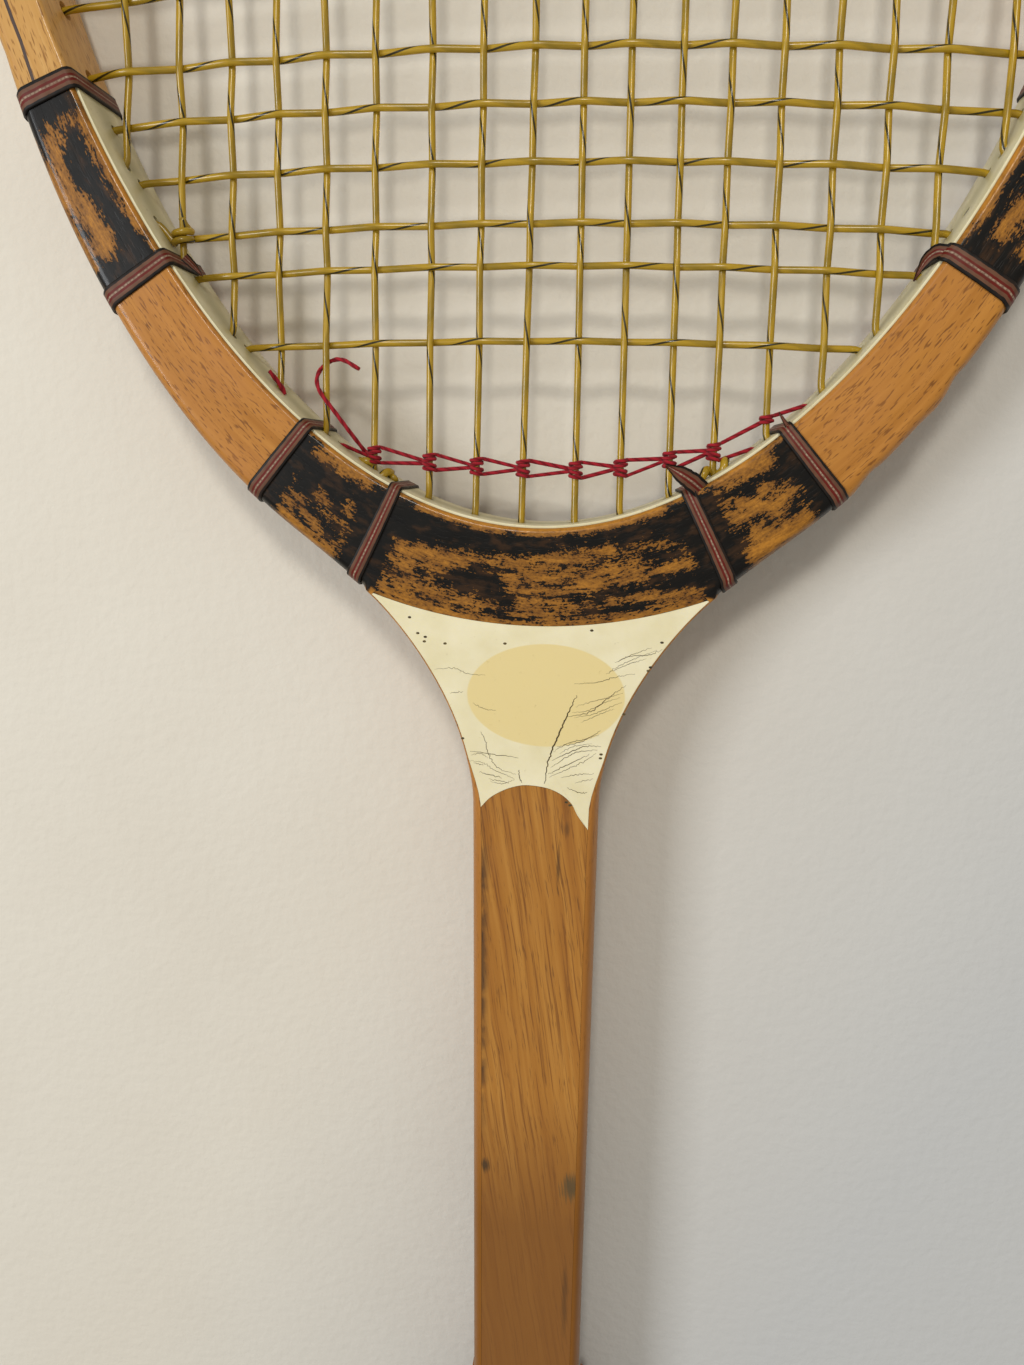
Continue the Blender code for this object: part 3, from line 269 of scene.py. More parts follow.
def lofted(name, sections, closed=False):
    """A skin over rings of points that all have the same count; its ends are joined or capped."""
    shape = bmesh.new()
    rings = [[shape.verts.new(point) for point in section] for section in sections]
    count = len(rings[0])
    for first, second in zip(rings, rings[1:] + rings[:1] if closed else rings[1:]):
        for k in range(count):
            after = (k + 1) % count
            shape.faces.new((first[k], first[after], second[after], second[k]))
    if not closed:
        shape.faces.new(rings[0])
        shape.faces.new(list(reversed(rings[-1])))
    return link(name, shape)


def select(*pieces):
    bpy.ops.object.select_all(action="DESELECT")
    for piece in pieces:
        piece.select_set(True)
    bpy.context.view_layer.objects.active = pieces[0]


def joined(pieces):
    select(*pieces)
    bpy.ops.object.join()
    return bpy.context.object


def cut(piece, cutter):
    """Takes the cutter's volume off the piece."""
    modifier = piece.modifiers.new("cut", "BOOLEAN")
    modifier.object = cutter
    modifier.solver = "EXACT"
    select(piece)
    bpy.ops.object.modifier_apply(modifier=modifier.name)


def shade(piece, smooth_below=35):
    select(piece)
    bpy.ops.object.shade_smooth_by_angle(angle=radians(smooth_below))


def dress(piece, replaced=None, material=None):
    """Ties a piece to the frame, in the place of a CAD node where it has one, and gives it its material."""
    if material:
        piece.data.materials.append(material)
    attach(piece, "root")
    if replaced:
        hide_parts(replaced)


def hoop_place(point):
    """The angle of a point of the hoop, and its distance out from the inner outline."""
    flat = Vector((point.x, point.y))
    angle = atan2(2 * flat.x / HEAD_INNER_WIDTH, 2 * (HEAD_CENTRE_Y - flat.y) / HEAD_INNER_LENGTH)
    for _ in range(5):
        angle += (flat - head_point(angle)).dot(head_tangent(angle)) / STEP_RADIUS
    tangent = head_tangent(angle)
    return angle, (flat - head_point(angle)).dot(Vector((tangent.y, -tangent.x)))


# Where the paint is worn off (-1) or has stayed (1): a reach in mm, then a line of places on the hoop's
# front, each an angle in degrees from the throat and a distance in mm from the inner edge.
WEAR = """
-1 1.8  -64.2 8.6  -62.5 8.4  -60.5 9.4  -58.5 9.4  -56.6 8  -54.6 8.3  -52.6 8.5
-1 1.8  -62 10.9  -58 11.4  -54 11.6
-1 0.8  -63.6 3.1  -62.9 1.6  -61.2 1.2  -59.5 1.2  -56.7 1.1  -54.2 0.9  -52.8 0.6
-1 0.8  -64.4 6.4  -63.6 6  -62.6 6.4
1 0.8  -63.6 10.1  -61.9 10.4
1 0.5  -57.6 11.3  -56.6 10.4  -55.3 10.9  -53 11.4
-1 1.2  -29.6 1.6  -26.8 1.4  -23.9 1.4  -20.9 1.2
-1 0.7  -29.4 2.4  -28.9 3.4  -28.2 2.6
-1 1.5  -29.3 15.8  -26.5 16  -23.5 16.8  -21 17.2  -19.4 17.4
-1 0.9  -28.7 9.8  -28.1 11.2  -28.6 12.8  -27.2 13.4
-1 0.8  -26.8 11.6  -25.7 13  -24.2 13.8  -23.4 15
-1 0.6  -23.4 11.3  -22 10.9  -20.6 12.1  -20.5 14.2  -21.7 15
-1 0.4  -25.2 8.8  -24.4 9.4
-1 0.5  -22.4 7  -21.7 8.4
-1 1.7  -15.6 9.8  -14.4 9.9  -13.2 9  -10.7 8.5  -8.6 8
-1 0.9  -15.7 12.2  -14.6 12.4  -12.7 11  -10.6 10.6
-1 1  -8.6 7.4  -6.8 7.2  -3.2 6.8  0.1 6.3
-1 1.4  0.1 6.9  3.4 5.9  5.4 5.7  8.1 5.4
-1 1.1  -3.1 9.9  0.4 9.6  4.5 8.5  7.6 9.1  10.7 9.9  13.4 11.4  15.6 12.4
-1 0.9  4.5 10.8  7.6 11.2  11 11.8
-1 0.7  10.2 6.4  12.7 6.8  14.9 7.7
-1 0.8  16.6 9.6  16.6 12.2
-1 0.8  -16 17  -15 15.5  -12.9 13.4
-1 1.3  -16 18.6  -14.4 18.6  -11.7 18.6  -8.9 18.2
-1 0.8  -2.9 11.9  1.3 11.9  4.4 11.7  6.8 11.6
-1 1  -1.6 14.6  1.3 14.2  3.6 15
-1 0.9  -13.8 15.7  -10.5 16  -7.5 15.9  -4.6 15.5
-1 0.5  -12.4 14.1  -9.2 14.4  -6.8 14.2
-1 0.7  4.8 15  8 15.2  11.6 15.6
-1 0.7  -2.7 16.6  -0.4 16.6  3 16.4
-1 0.9  12 17  14.8 17.3  17.2 18.3
1 0.5  -7.8 9.6  -5 9  -3.1 8.4  -0.4 8
1 1.1  -10.8 12.8  -7.1 12.7  -3.5 13.2
1 0.7  4 13.8  7.2 13.6  11.6 13.8  15.4 15.4
1 0.4  4.2 16  8.4 16.6  11.4 16.9
-1 1.9  20.9 0.8  23.4 1  26.2 1.6  28.3 1.5
-1 1.5  21.2 5.6  21.4 8.6  22.9 8.6
-1 1.5  22.9 6.4  24.3 8.8  25.6 9.9  27.4 9.2
-1 1.1  25.6 6.4  26.6 8.2
-1 2.3  21.6 15.8  23.8 15.4  26.2 15.6  28.8 16
-1 1.4  22.8 12.8  25.3 13.6  27.4 14.6
1 0.7  24.1 12.1  25.6 12.3  26.8 12.4
1 0.6  21.8 2.3  23.1 3  24.9 3.6
1 0.4  21.6 12.2  22.4 11.6
-1 1.6  52.4 6  54.5 5.4  57 6.4
-1 1.2  53 10.8  56 10.6  60 10  64 9.6
-1 1  59 4.2  61.5 5  64 4.4
"""
PAINTED = ((-30.6, 30.6), (-66.3, -50.7), (50.7, 66.3))


def rows(text, lead):
    """Each line of a table: its leading numbers, then its pairs of coordinates."""
    for line in text.strip().splitlines():
        numbers = [float(word) for word in line.split()]
        yield (*numbers[:lead], list(zip(numbers[lead::2], numbers[lead + 1 :: 2])))


worn_places = list(rows(WEAR, 2))


def paint_reach(angle, depth):
    """How far inside the paint a place is, in mm; below 0 the paint is worn off there."""
    if not any(low < angle < high for low, high in PAINTED):
        return BARE
    edge = min(abs(abs(angle) - degrees(a)) for a in BINDING_ANGLES)
    inside = min(2.2, (depth - 1.5) * 2.2, (band_width(radians(angle)) / MM - depth - 1.0) * 1.3)
    for sign, reach, places in worn_places:
        if not places[0][0] - 4 < angle < places[-1][0] + 4:
            continue
        nearest = 9.0
        for (angle_a, depth_a), (angle_b, depth_b) in zip(places, places[1:]):
            scale = 1.5 + 0.01 * abs(angle_a)
            along, up = (angle_b - angle_a) * scale, depth_b - depth_a
            here_along, here_up = (angle - angle_a) * scale, depth - depth_a
            share = (here_along * along + here_up * up) / max(along * along + up * up, 0.01)
            share = min(max(share, 0.0), 1.0)
            nearest = min(nearest, hypot(here_along - along * share, here_up - up * share))
        inside = min(inside, nearest - reach) if sign < 0 else max(inside, reach - nearest)
    beside_tape = 2.8 - 1.1 * max(edge * 1.8 - 2.0, 0.0)
    return max(inside, min(beside_tape, (depth - 0.8) * 1.6))


def grained(piece):
    """Writes each point's place in the wood (along, out from the inner edge, up) and in the paint."""
    piece.data.attributes.new("grain", "FLOAT_VECTOR", "POINT")
    piece.data.attributes.new("paint", "FLOAT", "POINT")
    grain, paint = (piece.data.attributes[name] for name in ("grain", "paint"))
    for k, vertex in enumerate(piece.data.vertices):
        height = vertex.co.z - string_plane
        below = vertex.co.y < joint.y + 5 * MM and abs(vertex.co.x) < joint.x + 2 * MM
        if below and (Vector(vertex.co[:2]) - arc_centre).length > ARC_RADIUS + 0.1 * MM:
            grain.data[k].vector = (vertex.co.y, abs(vertex.co.x), height)
            paint.data[k].value = BARE
            continue
        angle, depth = hoop_place(vertex.co)
        grain.data[k].vector = (angle * GRAIN_RADIUS, depth, height)
        seen_from_front = degrees(angle) if height > 0 else -degrees(angle)
        on_face = 1.0 if abs(height) > 5 * MM else BARE
        paint.data[k].value = min(paint_reach(seen_from_front, depth / MM), 9 * on_face)


def hoop_wood(name, pale, deep, fleck, streak, worn_edge):
    """Varnished wood along the grain attribute, under black paint where the paint attribute is above 0."""
    made, add = new_material(name)
    grain = add("Attribute", attribute_name="grain")
    inside = add("Attribute", attribute_name="paint", out="Fac")

    def stretched(along, across, detail, rough=0.55):
        """Noise drawn out along the grain, with grains of this size in mm."""
        placed = add("Mapping", grain, [1 / (size * MM) for size in (along, across, across)])
        return add("TexNoise", placed, 1, detail, rough)

    streaks = add("ValToRGB", stretched(streak, 1.6, 4), stops=((0.3, deep), (0.7, pale)))
    flecks = add("MapRange", stretched(2.1, 0.36, 1), 0.58, 0.68, 0, 0.85)
    cloud = add("MapRange", stretched(22, 9, 2), 0.35, 0.7, 0, 0.35)
    handled = add("Mix", cloud, add("Mix", flecks, streaks, fleck), worn_edge)
    edge = inside
    for along, across, detail, reach in ((3.2, 1.1, 5, 3.0), (0.8, 0.4, 3, 2.6), (9, 0.5, 3, 1.7)):
        ragged = add("MapRange", stretched(along, across, detail, 0.7), 0, 1, -reach, reach)
        edge = add("Math", edge, ragged)
    covered = add("MapRange", edge, -0.1, 0.16, interpolation_type="SMOOTHSTEP")
    golden = add("Mix", add("MapRange", inside, -4.6, -3.0, 0, 0.7), handled, "#B47A26")
    smoke = add("MapRange", stretched(4, 2.5, 3), 0, 1, -1.8, 1.8)
    stain = add("MapRange", add("Math", edge, smoke), -2.9, 0.5, 0, 0.85)
    stained = add("Mix", stain, golden, "#4C2D16")
    blacks = ((0.35, "#050403"), (0.52, "#0B0805"), (0.66, "#33200F"))
    colour = add("Mix", covered, stained, add("ValToRGB", stretched(5, 2, 4), stops=blacks))
    _, up, _ = add("SeparateXYZ", add("TexCoord")).node.outputs
    for high, low, share, tint in ((24, -6, 0.75, "#A0682A"), (-52, -84, 0.8, "#7C4C0E")):
        colour = add("Mix", add("MapRange", up, low * MM, high * MM, share, 0), colour, tint)
    rough = add("MapRange", stretched(6, 2.5, 4), 0, 1, 0.28, 0.55)
    raised = add("Math", covered, 0.6, operation="MULTIPLY")
    pored = add("Math", flecks, -0.35, operation="MULTIPLY")
    relief = add("Bump", add("Math", raised, pored), 0.6, 0.08 * MM)
    varnish = {"Specular_IOR_Level": 0.17, "Coat_Weight": 0.16, "Coat_Roughness": 0.12}
    add("OutputMaterial", add("BsdfPrincipled", colour, rough, relief, **varnish))
    return made


def above_bindings(piece, lower, upper):
    """One material below the uppermost bindings and the other one above them."""
    piece.data.materials.append(lower)
    piece.data.materials.append(upper)
    for face in piece.data.polygons:
        high = folded(hoop_place(face.center)[0]) > UPPER_EDGE and face.center.y > joint.y
        face.material_index = int(high)


# The lower head is faced with beech, reddish with short dark flecks; the upper one shows pale maple.
painted_beech = hoop_wood(
    "steamed beech, varnished, black paint worn off", "#C0843A", "#A66C26", "#6C4014", 30, "#B87C48"
)
bare_maple = hoop_wood("maple, varnished", "#D2A563", "#BB8845", "#8C5E2A", 45, "#C79755")


def inner_profile(angle):
    """The inner ply's section: (out from the inner outline, height), with a rounded inner edge."""
    faced = folded(angle) < UPPER_EDGE
    start = PLY_JOINT if faced else -GAP
    end = INNER_PLY_END - PLY_JOINT if faced else hoop_width(angle) - FIBRE_INSIDE - PLY_JOINT
    step = (end - start - INNER_ROUNDING) / 3
    upper = [(end - k * step, HALF_DEPTH) for k in range(3)]
    for k in range(5):
        turned = radians(22.5 * k)
        sunk = INNER_ROUNDING * (1 - cos(turned))
        upper.append((start + INNER_ROUNDING * (1 - sin(turned)), HALF_DEPTH - sunk))
    return mirrored(upper)


stops = [UPPER_EDGE - 0.001, UPPER_EDGE + 0.001]
ring_turns = sorted(turns(0, 2 * pi)[:-1] + stops + [2 * pi - s for s in stops])
sections = [[at(head_point(a, d), h) for d, h in inner_profile(a)] for a in ring_turns]
inner_ring = lofted("inner_ring", sections, closed=True)

HOLE_ROW = 1.3 * MM
STRING_DIAMETER = 1.35 * MM
GROOVE_DEPTH = 1.65 * MM
GROOVE_HALF_WIDTH = 2.6 * MM
GROOVE_START_ANGLE = radians(20.2)
TUNNEL_DEPTH = 9.6 * MM
BEND_HEIGHT = 0.45 * MM
MAIN_COUNT = 18
CROSS_COUNT = 18
TUNNEL_MAINS_A_SIDE = 4
MIDDLE_GAP = 11.0
MAIN_SPACING = 9.4
FIRST_CROSS = 35.0 * MM
LAST_CROSS = 34.0 * MM
CROSS_BOW = 4.5 * MM
STRING_BEND = 2.0 * MM
MAIN_TIE_ANGLE = radians(55.0)
CROSS_TIE_ANGLE = radians(20.9)
TIP_TIE_SHIFT = radians(4.5)
CORD_HOLE_ANGLES = tuple(radians(a) for a in (-27.5, 27.5, 34.3))
half_mains = [(MIDDLE_GAP / 2 + MAIN_SPACING * k) * MM for k in range(MAIN_COUNT // 2)]
drifts = [1.0 * MM if k < 3 else 0.0 for k in range(MAIN_COUNT // 2)]
mains = sorted([x + d for x, d in zip(half_mains, drifts)] + [d - x for x, d in zip(half_mains, drifts)])
# The mains have drifted, at the throat and by 160 mm over the frame's middle; the tip holds them in place.
LOW_DRIFTS = (0, 0.8, 0.6, 0.3, 0, 0, 0.7, 0.6, 0.4, -0.1, -0.7, -0.7, -0.8, -0.5, -0.3, -0.6, -0.8, 0)
TOP_DRIFTS = (1.5, 2.2, 2.6, 1.9, 1.7, 1.8, 1.8, 1.9, 1.9)
TOP_DRIFTS += (-0.3, -1.2, -1.4, -1.0, -1.5, -1.3, -1.5, -1.4, 0.1)
DRIFT_Y = 160 * MM
crosses = [THROAT_Y + FIRST_CROSS]
for step in (13.6, 7.5, 10.6, 10.0, 9.4):
    crosses.append(crosses[-1] + step * MM)
even_step = (INNER_TIP_Y - LAST_CROSS - crosses[-1]) / (CROSS_COUNT - len(crosses))
while len(crosses) < CROSS_COUNT:
    crosses.append(crosses[-1] + even_step)


def solve(function, low, high):
    """Where a rising function crosses zero."""
    for _ in range(40):
        middle = (low + high) / 2
        if function(middle) < 0:
            low = middle
        else:
            high = middle
    return (low + high) / 2


def main_angles(index):
    """The angles, signed by side, where a main string meets the throat's side and the tip's side."""
    x = mains[index]
    side, low_x = copysign(1, x), abs(x + LOW_DRIFTS[index] * MM)
    low = solve(lambda a: head_point(a).x - low_x, 0, WIDEST_ANGLE)
    return side * low, side * solve(lambda a: abs(x) - head_point(a).x, WIDEST_ANGLE, pi)


def main_x(index, y):
    """Where a main string is across the head at this height."""
    low, top = LOW_DRIFTS[index], TOP_DRIFTS[index]
    if y < DRIFT_Y:
        foot_y = head_point(main_angles(index)[0]).y
        return mains[index] + (low + (top - low) * (y - foot_y) / (DRIFT_Y - foot_y)) * MM
    return mains[index] + top * (INNER_TIP_Y - y) / (INNER_TIP_Y - DRIFT_Y) * MM


def cross_y(place, x):
    return place - CROSS_BOW * (2 * x / HEAD_INNER_WIDTH) ** 2


def cross_angle(place):
    return solve(lambda a: head_point(a).y - cross_y(place, head_point(a).x), 0, pi)


def turns_inside(index):
    """Whether this main turns back inside the throat crescent, as those above the shoulders do."""
    return abs(index - (MAIN_COUNT - 1) / 2) < TUNNEL_MAINS_A_SIDE


def tunnel(first, last):
    """Points of a string that turns back inside the crescent between two holes."""
    side = TUNNEL_DEPTH - STRING_DIAMETER
    places = [(first, -BEND_HEIGHT), (first, side), ((first + last) / 2, TUNNEL_DEPTH)]
    places += [(last, side), (last, -BEND_HEIGHT)]
    return [at(head_point(a, d), HOLE_ROW) for a, d in places]


def rounded(path, reach, steps=4):
    """The path with each corner replaced by a short curve that starts and ends within reach of it."""
    made = [path[0]]
    for before, corner, after in zip(path, path[1:], path[2:]):
        first = corner + (before - corner).normalized() * min(reach, 0.46 * (before - corner).length)
        last = corner + (after - corner).normalized() * min(reach, 0.46 * (after - corner).length)
        for k in range(steps + 1):
            t = k / steps
            made.append(first * (1 - t) ** 2 + corner * 2 * t * (1 - t) + last * t**2)
    return made + [path[-1]]


def tube(name, path, radii, sides, plies=0.0, lay=1.0):
    """A round or two-ply tube along a path. Its UV map holds metres along, and turns round."""
    shape = bmesh.new()
    wound_uv = shape.loops.layers.uv.new("wound")
    along, rings, sideways = 0.0, [], None
    for k, point in enumerate(path):
        ahead = direction(path, k)
        sideways = sideways or ahead.orthogonal()
        sideways = (sideways - ahead * sideways.dot(ahead)).normalized()
        across = ahead.cross(sideways)
        along += (point - path[k - 1]).length if k else 0.0
        radius = radii[k] if isinstance(radii, list) else radii
        ring = []
        for side in range(sides):
            turn = 2 * pi * side / sides
            reach = radius * (1 - plies + plies * abs(cos(turn - pi * along / lay)))
            ring.append(shape.verts.new(point + reach * (cos(turn) * sideways + sin(turn) * across)))
        rings.append((along, ring))
    for (start, first), (end, second) in zip(rings, rings[1:]):
        for side in range(sides):
            after = (side + 1) % sides
            face = shape.faces.new((first[side], first[after], second[after], second[side]))
            face.smooth = True
            here, there = side / sides, (side + 1) / sides
            for loop, u, v in zip(face.loops, (start, start, end, end), (here, there, there, here)):
                loop[wound_uv].uv = (u, v)
    shape.faces.new(list(reversed(rings[0][1])))
    shape.faces.new(rings[-1][1])
    return link(name, shape)


def hole(angle, row, depth=None, wide=1.0 * MM, narrow=0.9 * MM):
    """A cutter for a straight hole out through the hoop, to its channel or a depth, countersunk inside."""
    depth = hoop_width(angle) - GROOVE_DEPTH + 1 * MM if depth is None else depth
    wide = 1.7 * MM if folded(angle) > UPPER_EDGE else wide
    places = ((-1.2 * MM, wide), (-0.3 * MM, wide), (1.1 * MM, narrow), (depth, narrow))
    return tube("hole", [at(head_point(angle, d), row) for d, _ in places], [r for _, r in places], 12)


# Two drills, one for each row of holes, so that no drill's holes meet.
main_holes = []
for i in range(MAIN_COUNT):
    low, high = main_angles(i)
    main_holes.append(hole(high, HOLE_ROW))
    if not turns_inside(i):
        main_holes.append(hole(low, HOLE_ROW))
    elif i % 2 == 1:
        path = tunnel(low, main_angles(i + 1)[0])
        path[0] += (path[0] - path[1]).normalized() * MM
        path[-1] += (path[-1] - path[-2]).normalized() * MM
        main_holes.append(tube("hole", rounded(path, STRING_BEND), 1.1 * MM, 10))
main_holes += [hole(angle, HOLE_ROW) for angle in (-MAIN_TIE_ANGLE, MAIN_TIE_ANGLE)]
cross_places = [s * cross_angle(place) for place in crosses for s in (-1, 1)]
cross_places += [-CROSS_TIE_ANGLE, -cross_angle(crosses[-1]) - TIP_TIE_SHIFT]
cross_holes = [hole(angle, -HOLE_ROW) for angle in cross_places]
cross_holes += [hole(angle, 0.0, 3.2 * MM, 0.9 * MM, 0.8 * MM) for angle in CORD_HOLE_ANGLES]
drills = [joined(main_holes), joined(cross_holes)]


def worked(piece):
    """Drills the strings' and cords' holes through a piece of the hoop, smooths it and marks its grain."""
    for drill in drills:
        cut(piece, drill)
    shade(piece)
    grained(piece)


worked(inner_ring)
above_bindings(inner_ring, painted_beech, bare_maple)
dress(inner_ring, "inner_lamination")


# Outer lamination: a second strip bent round the head, whose two ends run on past the throat as the
# shaft's sides. Its outer edge is rounded, with a channel for the string loops. The strip is chipped on
# the right shoulder, and a dark fibre strip is glued in behind it.

OUTER_PLY = FIBRE_OUTSIDE - PLY_JOINT
SHAFT_HALF_WIDTH = 12.9 * MM
SHAFT_HALF_WIDTH_AT_GRIP = 12.2 * MM
SHOULDER_FOOT_Y = THROAT_Y - 55.3 * MM
SHOULDER_PULLS = (8.6 * MM, 19.5 * MM)
HANDLE_TOP_Y = butt_low[1] + 192 * MM
PALLET_END_Y = HANDLE_TOP_Y + 14 * MM
HANDLE_FOOT_Y = butt_low[1] + 9.3 * MM
PLATE_THICKNESS = 0.6 * MM
CORE_HALF_DEPTH = HALF_DEPTH - PLATE_THICKNESS - GAP
EDGE_ACROSS = 2.15 * MM
EDGE_DOWN = 4.05 * MM
CHIPS = ((31.8, 0.5, 0.9), (34.2, -0.35, 0.8), (41.5, 0.5, 1.6), (44.0, -0.4, 1.0))


def silhouette():
    """The racket's right side from its foot to the shoulder, the head, and the left side back down."""
    beyond = head_point(SHOULDER_ANGLE + 0.01, hoop_width(SHOULDER_ANGLE + 0.01))
    foot = Vector((SHAFT_HALF_WIDTH, SHOULDER_FOOT_Y))
    pull = joint + (joint - beyond).normalized() * SHOULDER_PULLS[0]
    corners = (foot, foot + Vector((0, SHOULDER_PULLS[1])), pull, joint)
    leg = [Vector((SHAFT_HALF_WIDTH_AT_GRIP, y)) for y in (HANDLE_FOOT_Y, PALLET_END_Y, PALLET_END_Y + GAP)]
    start = leg[-1]
    leg += [start.lerp(foot, k / 14) for k in range(1, 14)]
    for k in range(24):
        t = k / 24
        shares = ((1 - t) ** 3, 3 * t * (1 - t) ** 2, 3 * t * t * (1 - t), t**3)
        leg.append(sum((corner * share for corner, share in zip(corners, shares)), Vector((0, 0))))
    angles = turns(SHOULDER_ANGLE, 2 * pi - SHOULDER_ANGLE)
    head = [head_point(angle, hoop_width(angle)) for angle in angles]
    far_leg = [Vector((-p.x, p.y)) for p in reversed(leg)]
    return leg + head + far_leg, [None] * len(leg) + angles + [None] * len(leg)


def inset(points, distance):
    """The open line moved to its left, which is the racket's inside."""
    along = [direction(points, k) for k in range(len(points))]
    return [point - Vector((ahead.y, -ahead.x)) * distance for point, ahead in zip(points, along)]


def edge_size(y, angle):
    """How far the rounded edge reaches across and down: sharp at the shoulders, round on shaft and hoop."""
    share = 0.0 if angle is not None else min(max((y - THROAT_Y + 58.5 * MM) / (14 * MM), 0.0), 1.0)
    sharp = share * share * (3 - 2 * share)
    return EDGE_ACROSS - 1.65 * MM * sharp, EDGE_DOWN - 2.65 * MM * sharp


def face_height(y):
    """How high the plies reach: to the face, or lower in the handle."""
    return HALF_DEPTH if y > PALLET_END_Y + GAP / 2 else CORE_HALF_DEPTH - 0.05 * MM


def outer_profile(point, angle):
    """The outer ply's section: (in from the outside, height), with its rounded edge and string channel."""
    across, down = edge_size(point.y, angle)
    groove = 0.0
    if angle is not None:
        share = (folded(angle) - GROOVE_START_ANGLE) / radians(2) + 0.5
        groove = GROOVE_DEPTH * min(max(share, 0.0), 1.0)
    top = face_height(point.y)
    upper = [(OUTER_PLY * share + across * (1 - share), top) for share in (1, 0.67, 0.33)]
    for k in range(8):
        turned = radians(90 * k / 7)
        upper.append((across * (1 - sin(turned)), min(top, HALF_DEPTH - down + down * cos(turned))))
    upper += [(0.0, GROOVE_HALF_WIDTH + 0.2 * MM), (groove * 0.6, GROOVE_HALF_WIDTH)]
    return mirrored(upper + [(groove, 2.1 * MM), (groove, 0.7 * MM)])


side_line, side_angles = silhouette()
inwards_by_mm = [(moved - point) / MM for moved, point in zip(inset(side_line, MM), side_line)]
outer_sections, fibre_sections = [], []
for point, inwards, angle in zip(side_line, inwards_by_mm, side_angles):
    turned = degrees(angle or 0)
    chip = sum(size * exp(-(((turned - place) / width) ** 2)) for place, size, width in CHIPS)
    outer = [(d + (0.06 - chip) * MM * max(0.0, 1 - d / (3 * MM)), h) for d, h in outer_profile(point, angle)]
    outer_sections.append([at(point + inwards * d, h) for d, h in outer])
    top = face_height(point.y)
    corners = ((FIBRE_OUTSIDE, top), (FIBRE_OUTSIDE, -top), (FIBRE_INSIDE, -top), (FIBRE_INSIDE, top))
    fibre_sections.append([at(point + inwards * d, h) for d, h in corners])
outer_bow, fibre_bow = lofted("outer_bow", outer_sections), lofted("fibre_bow", fibre_sections)


def arc_point(turned, grow=0.0):
    """A point of the throat's arc, the painted hoop's lower edge, by its turn from the middle."""
    return arc_centre + (ARC_RADIUS + grow) * Vector((sin(turned), -cos(turned)))


def plate_edge(grow):
    """The right half of the line where the outer ply's rounded edge begins, moved inwards."""
    half = list(zip(side_line, inwards_by_mm, side_angles))[: len(side_line) // 2]
    return [point + inwards * (edge_size(point.y, angle)[0] + grow) for point, inwards, angle in half]


def crossing(line, height):
    """The points where a side line passes a height, in a list."""
    return [a.lerp(b, (height - a.y) / (b.y - a.y)) for a, b in zip(line, line[1:]) if a.y <= height < b.y]


def flipped(points):
    """The other side's points, in the other order."""
    return [Vector((-p.x, p.y)) for p in reversed(points)]


def below_arc(line, low, grow):
    """A side line's points from a height up to the arc, then the arc, then the left side back down."""
    outside = [p for p in line if (p - arc_centre).length > ARC_RADIUS + grow]
    right = crossing(line, low)[:1] + [p for p in outside if low < p.y < joint.y + 2 * MM]
    spread = asin(right[-1].x / (ARC_RADIUS + grow)) - 0.004
    arc = [arc_point(t, grow) for t in turns(-spread, spread, radians(0.8))]
    return right + list(reversed(arc)) + flipped(right)


def plate(name, outline, low, high):
    """A flat plate with this outline between two heights over the string plane."""
    return lofted(name, [[at(p, height) for p in outline] for height in (low, high)])


recess = below_arc(plate_edge(0.0), PALLET_END_Y - 2 * MM, -0.03 * MM)
for low, high in ((CORE_HALF_DEPTH, 12 * MM), (-12 * MM, -CORE_HALF_DEPTH)):
    cutter = plate("plate_recess", recess, low, high)
    cut(outer_bow, cutter)
    cut(fibre_bow, cutter)
    bpy.data.objects.remove(cutter, do_unlink=True)
worked(outer_bow)
worked(fibre_bow)
above_bindings(outer_bow, painted_beech, bare_maple)
dress(outer_bow, "outer_lamination")

dark_fibre, add = new_material("vulcanised fibre, dark brown, edge on")
grain = add("Attribute", attribute_name="grain")
placed = add("Mapping", grain, [1 / (size * MM) for size in (4, 0.3, 0.3)])
fibre_colour = add("ValToRGB", add("TexNoise", placed, 1, 4), stops=((0.3, "#2A1710"), (0.7, "#4A2D1C")))
add("OutputMaterial", add("BsdfPrincipled", fibre_colour, 0.5))
above_bindings(fibre_bow, painted_beech, dark_fibre)
dress(fibre_bow, "fibre_lamination")


# Throat crescent: a block of beech that fills the hoop where it swells above the shaft, with long horns
# that run up between the laminations. The strings above the throat turn back inside it.

fibre_inside = inset(side_line, FIBRE_INSIDE)
right_bow = fibre_inside[: len(fibre_inside) // 2]


def crescent_reach(angle):
    """How far out the crescent goes at an angle: to the fibre, or to the throat's arc."""
    if folded(angle) >= FLARE_ANGLE:
        return hoop_width(angle) - FIBRE_INSIDE - PLY_JOINT
    reach = band_width(angle)
    start = head_point(abs(angle))
    out = (head_point(abs(angle), 1.0) - start).normalized()
    for a, b in zip(right_bow, right_bow[1:]):
        side, offset = b - a, a - start
        size = out.x * side.y - out.y * side.x
        if abs(size) < 1e-12:
            continue
        distance = (offset.x * side.y - offset.y * side.x) / size
        share = (offset.x * out.y - offset.y * out.x) / size
        if 0 <= share <= 1 and 0 < distance < reach + PLY_JOINT:
            reach = distance - PLY_JOINT
    return reach


sections = []
for angle in turns(-UPPER_EDGE, UPPER_EDGE):
    first, last = INNER_PLY_END, crescent_reach(angle)
    upper = [(first + (last - first) * k / 12, HALF_DEPTH) for k in range(13)]
    sections.append([at(head_point(angle, d), h) for d, h in mirrored(upper)])
crescent = lofted("crescent", sections)
worked(crescent)
above_bindings(crescent, painted_beech, bare_maple)
dress(crescent, "throat_crescent")
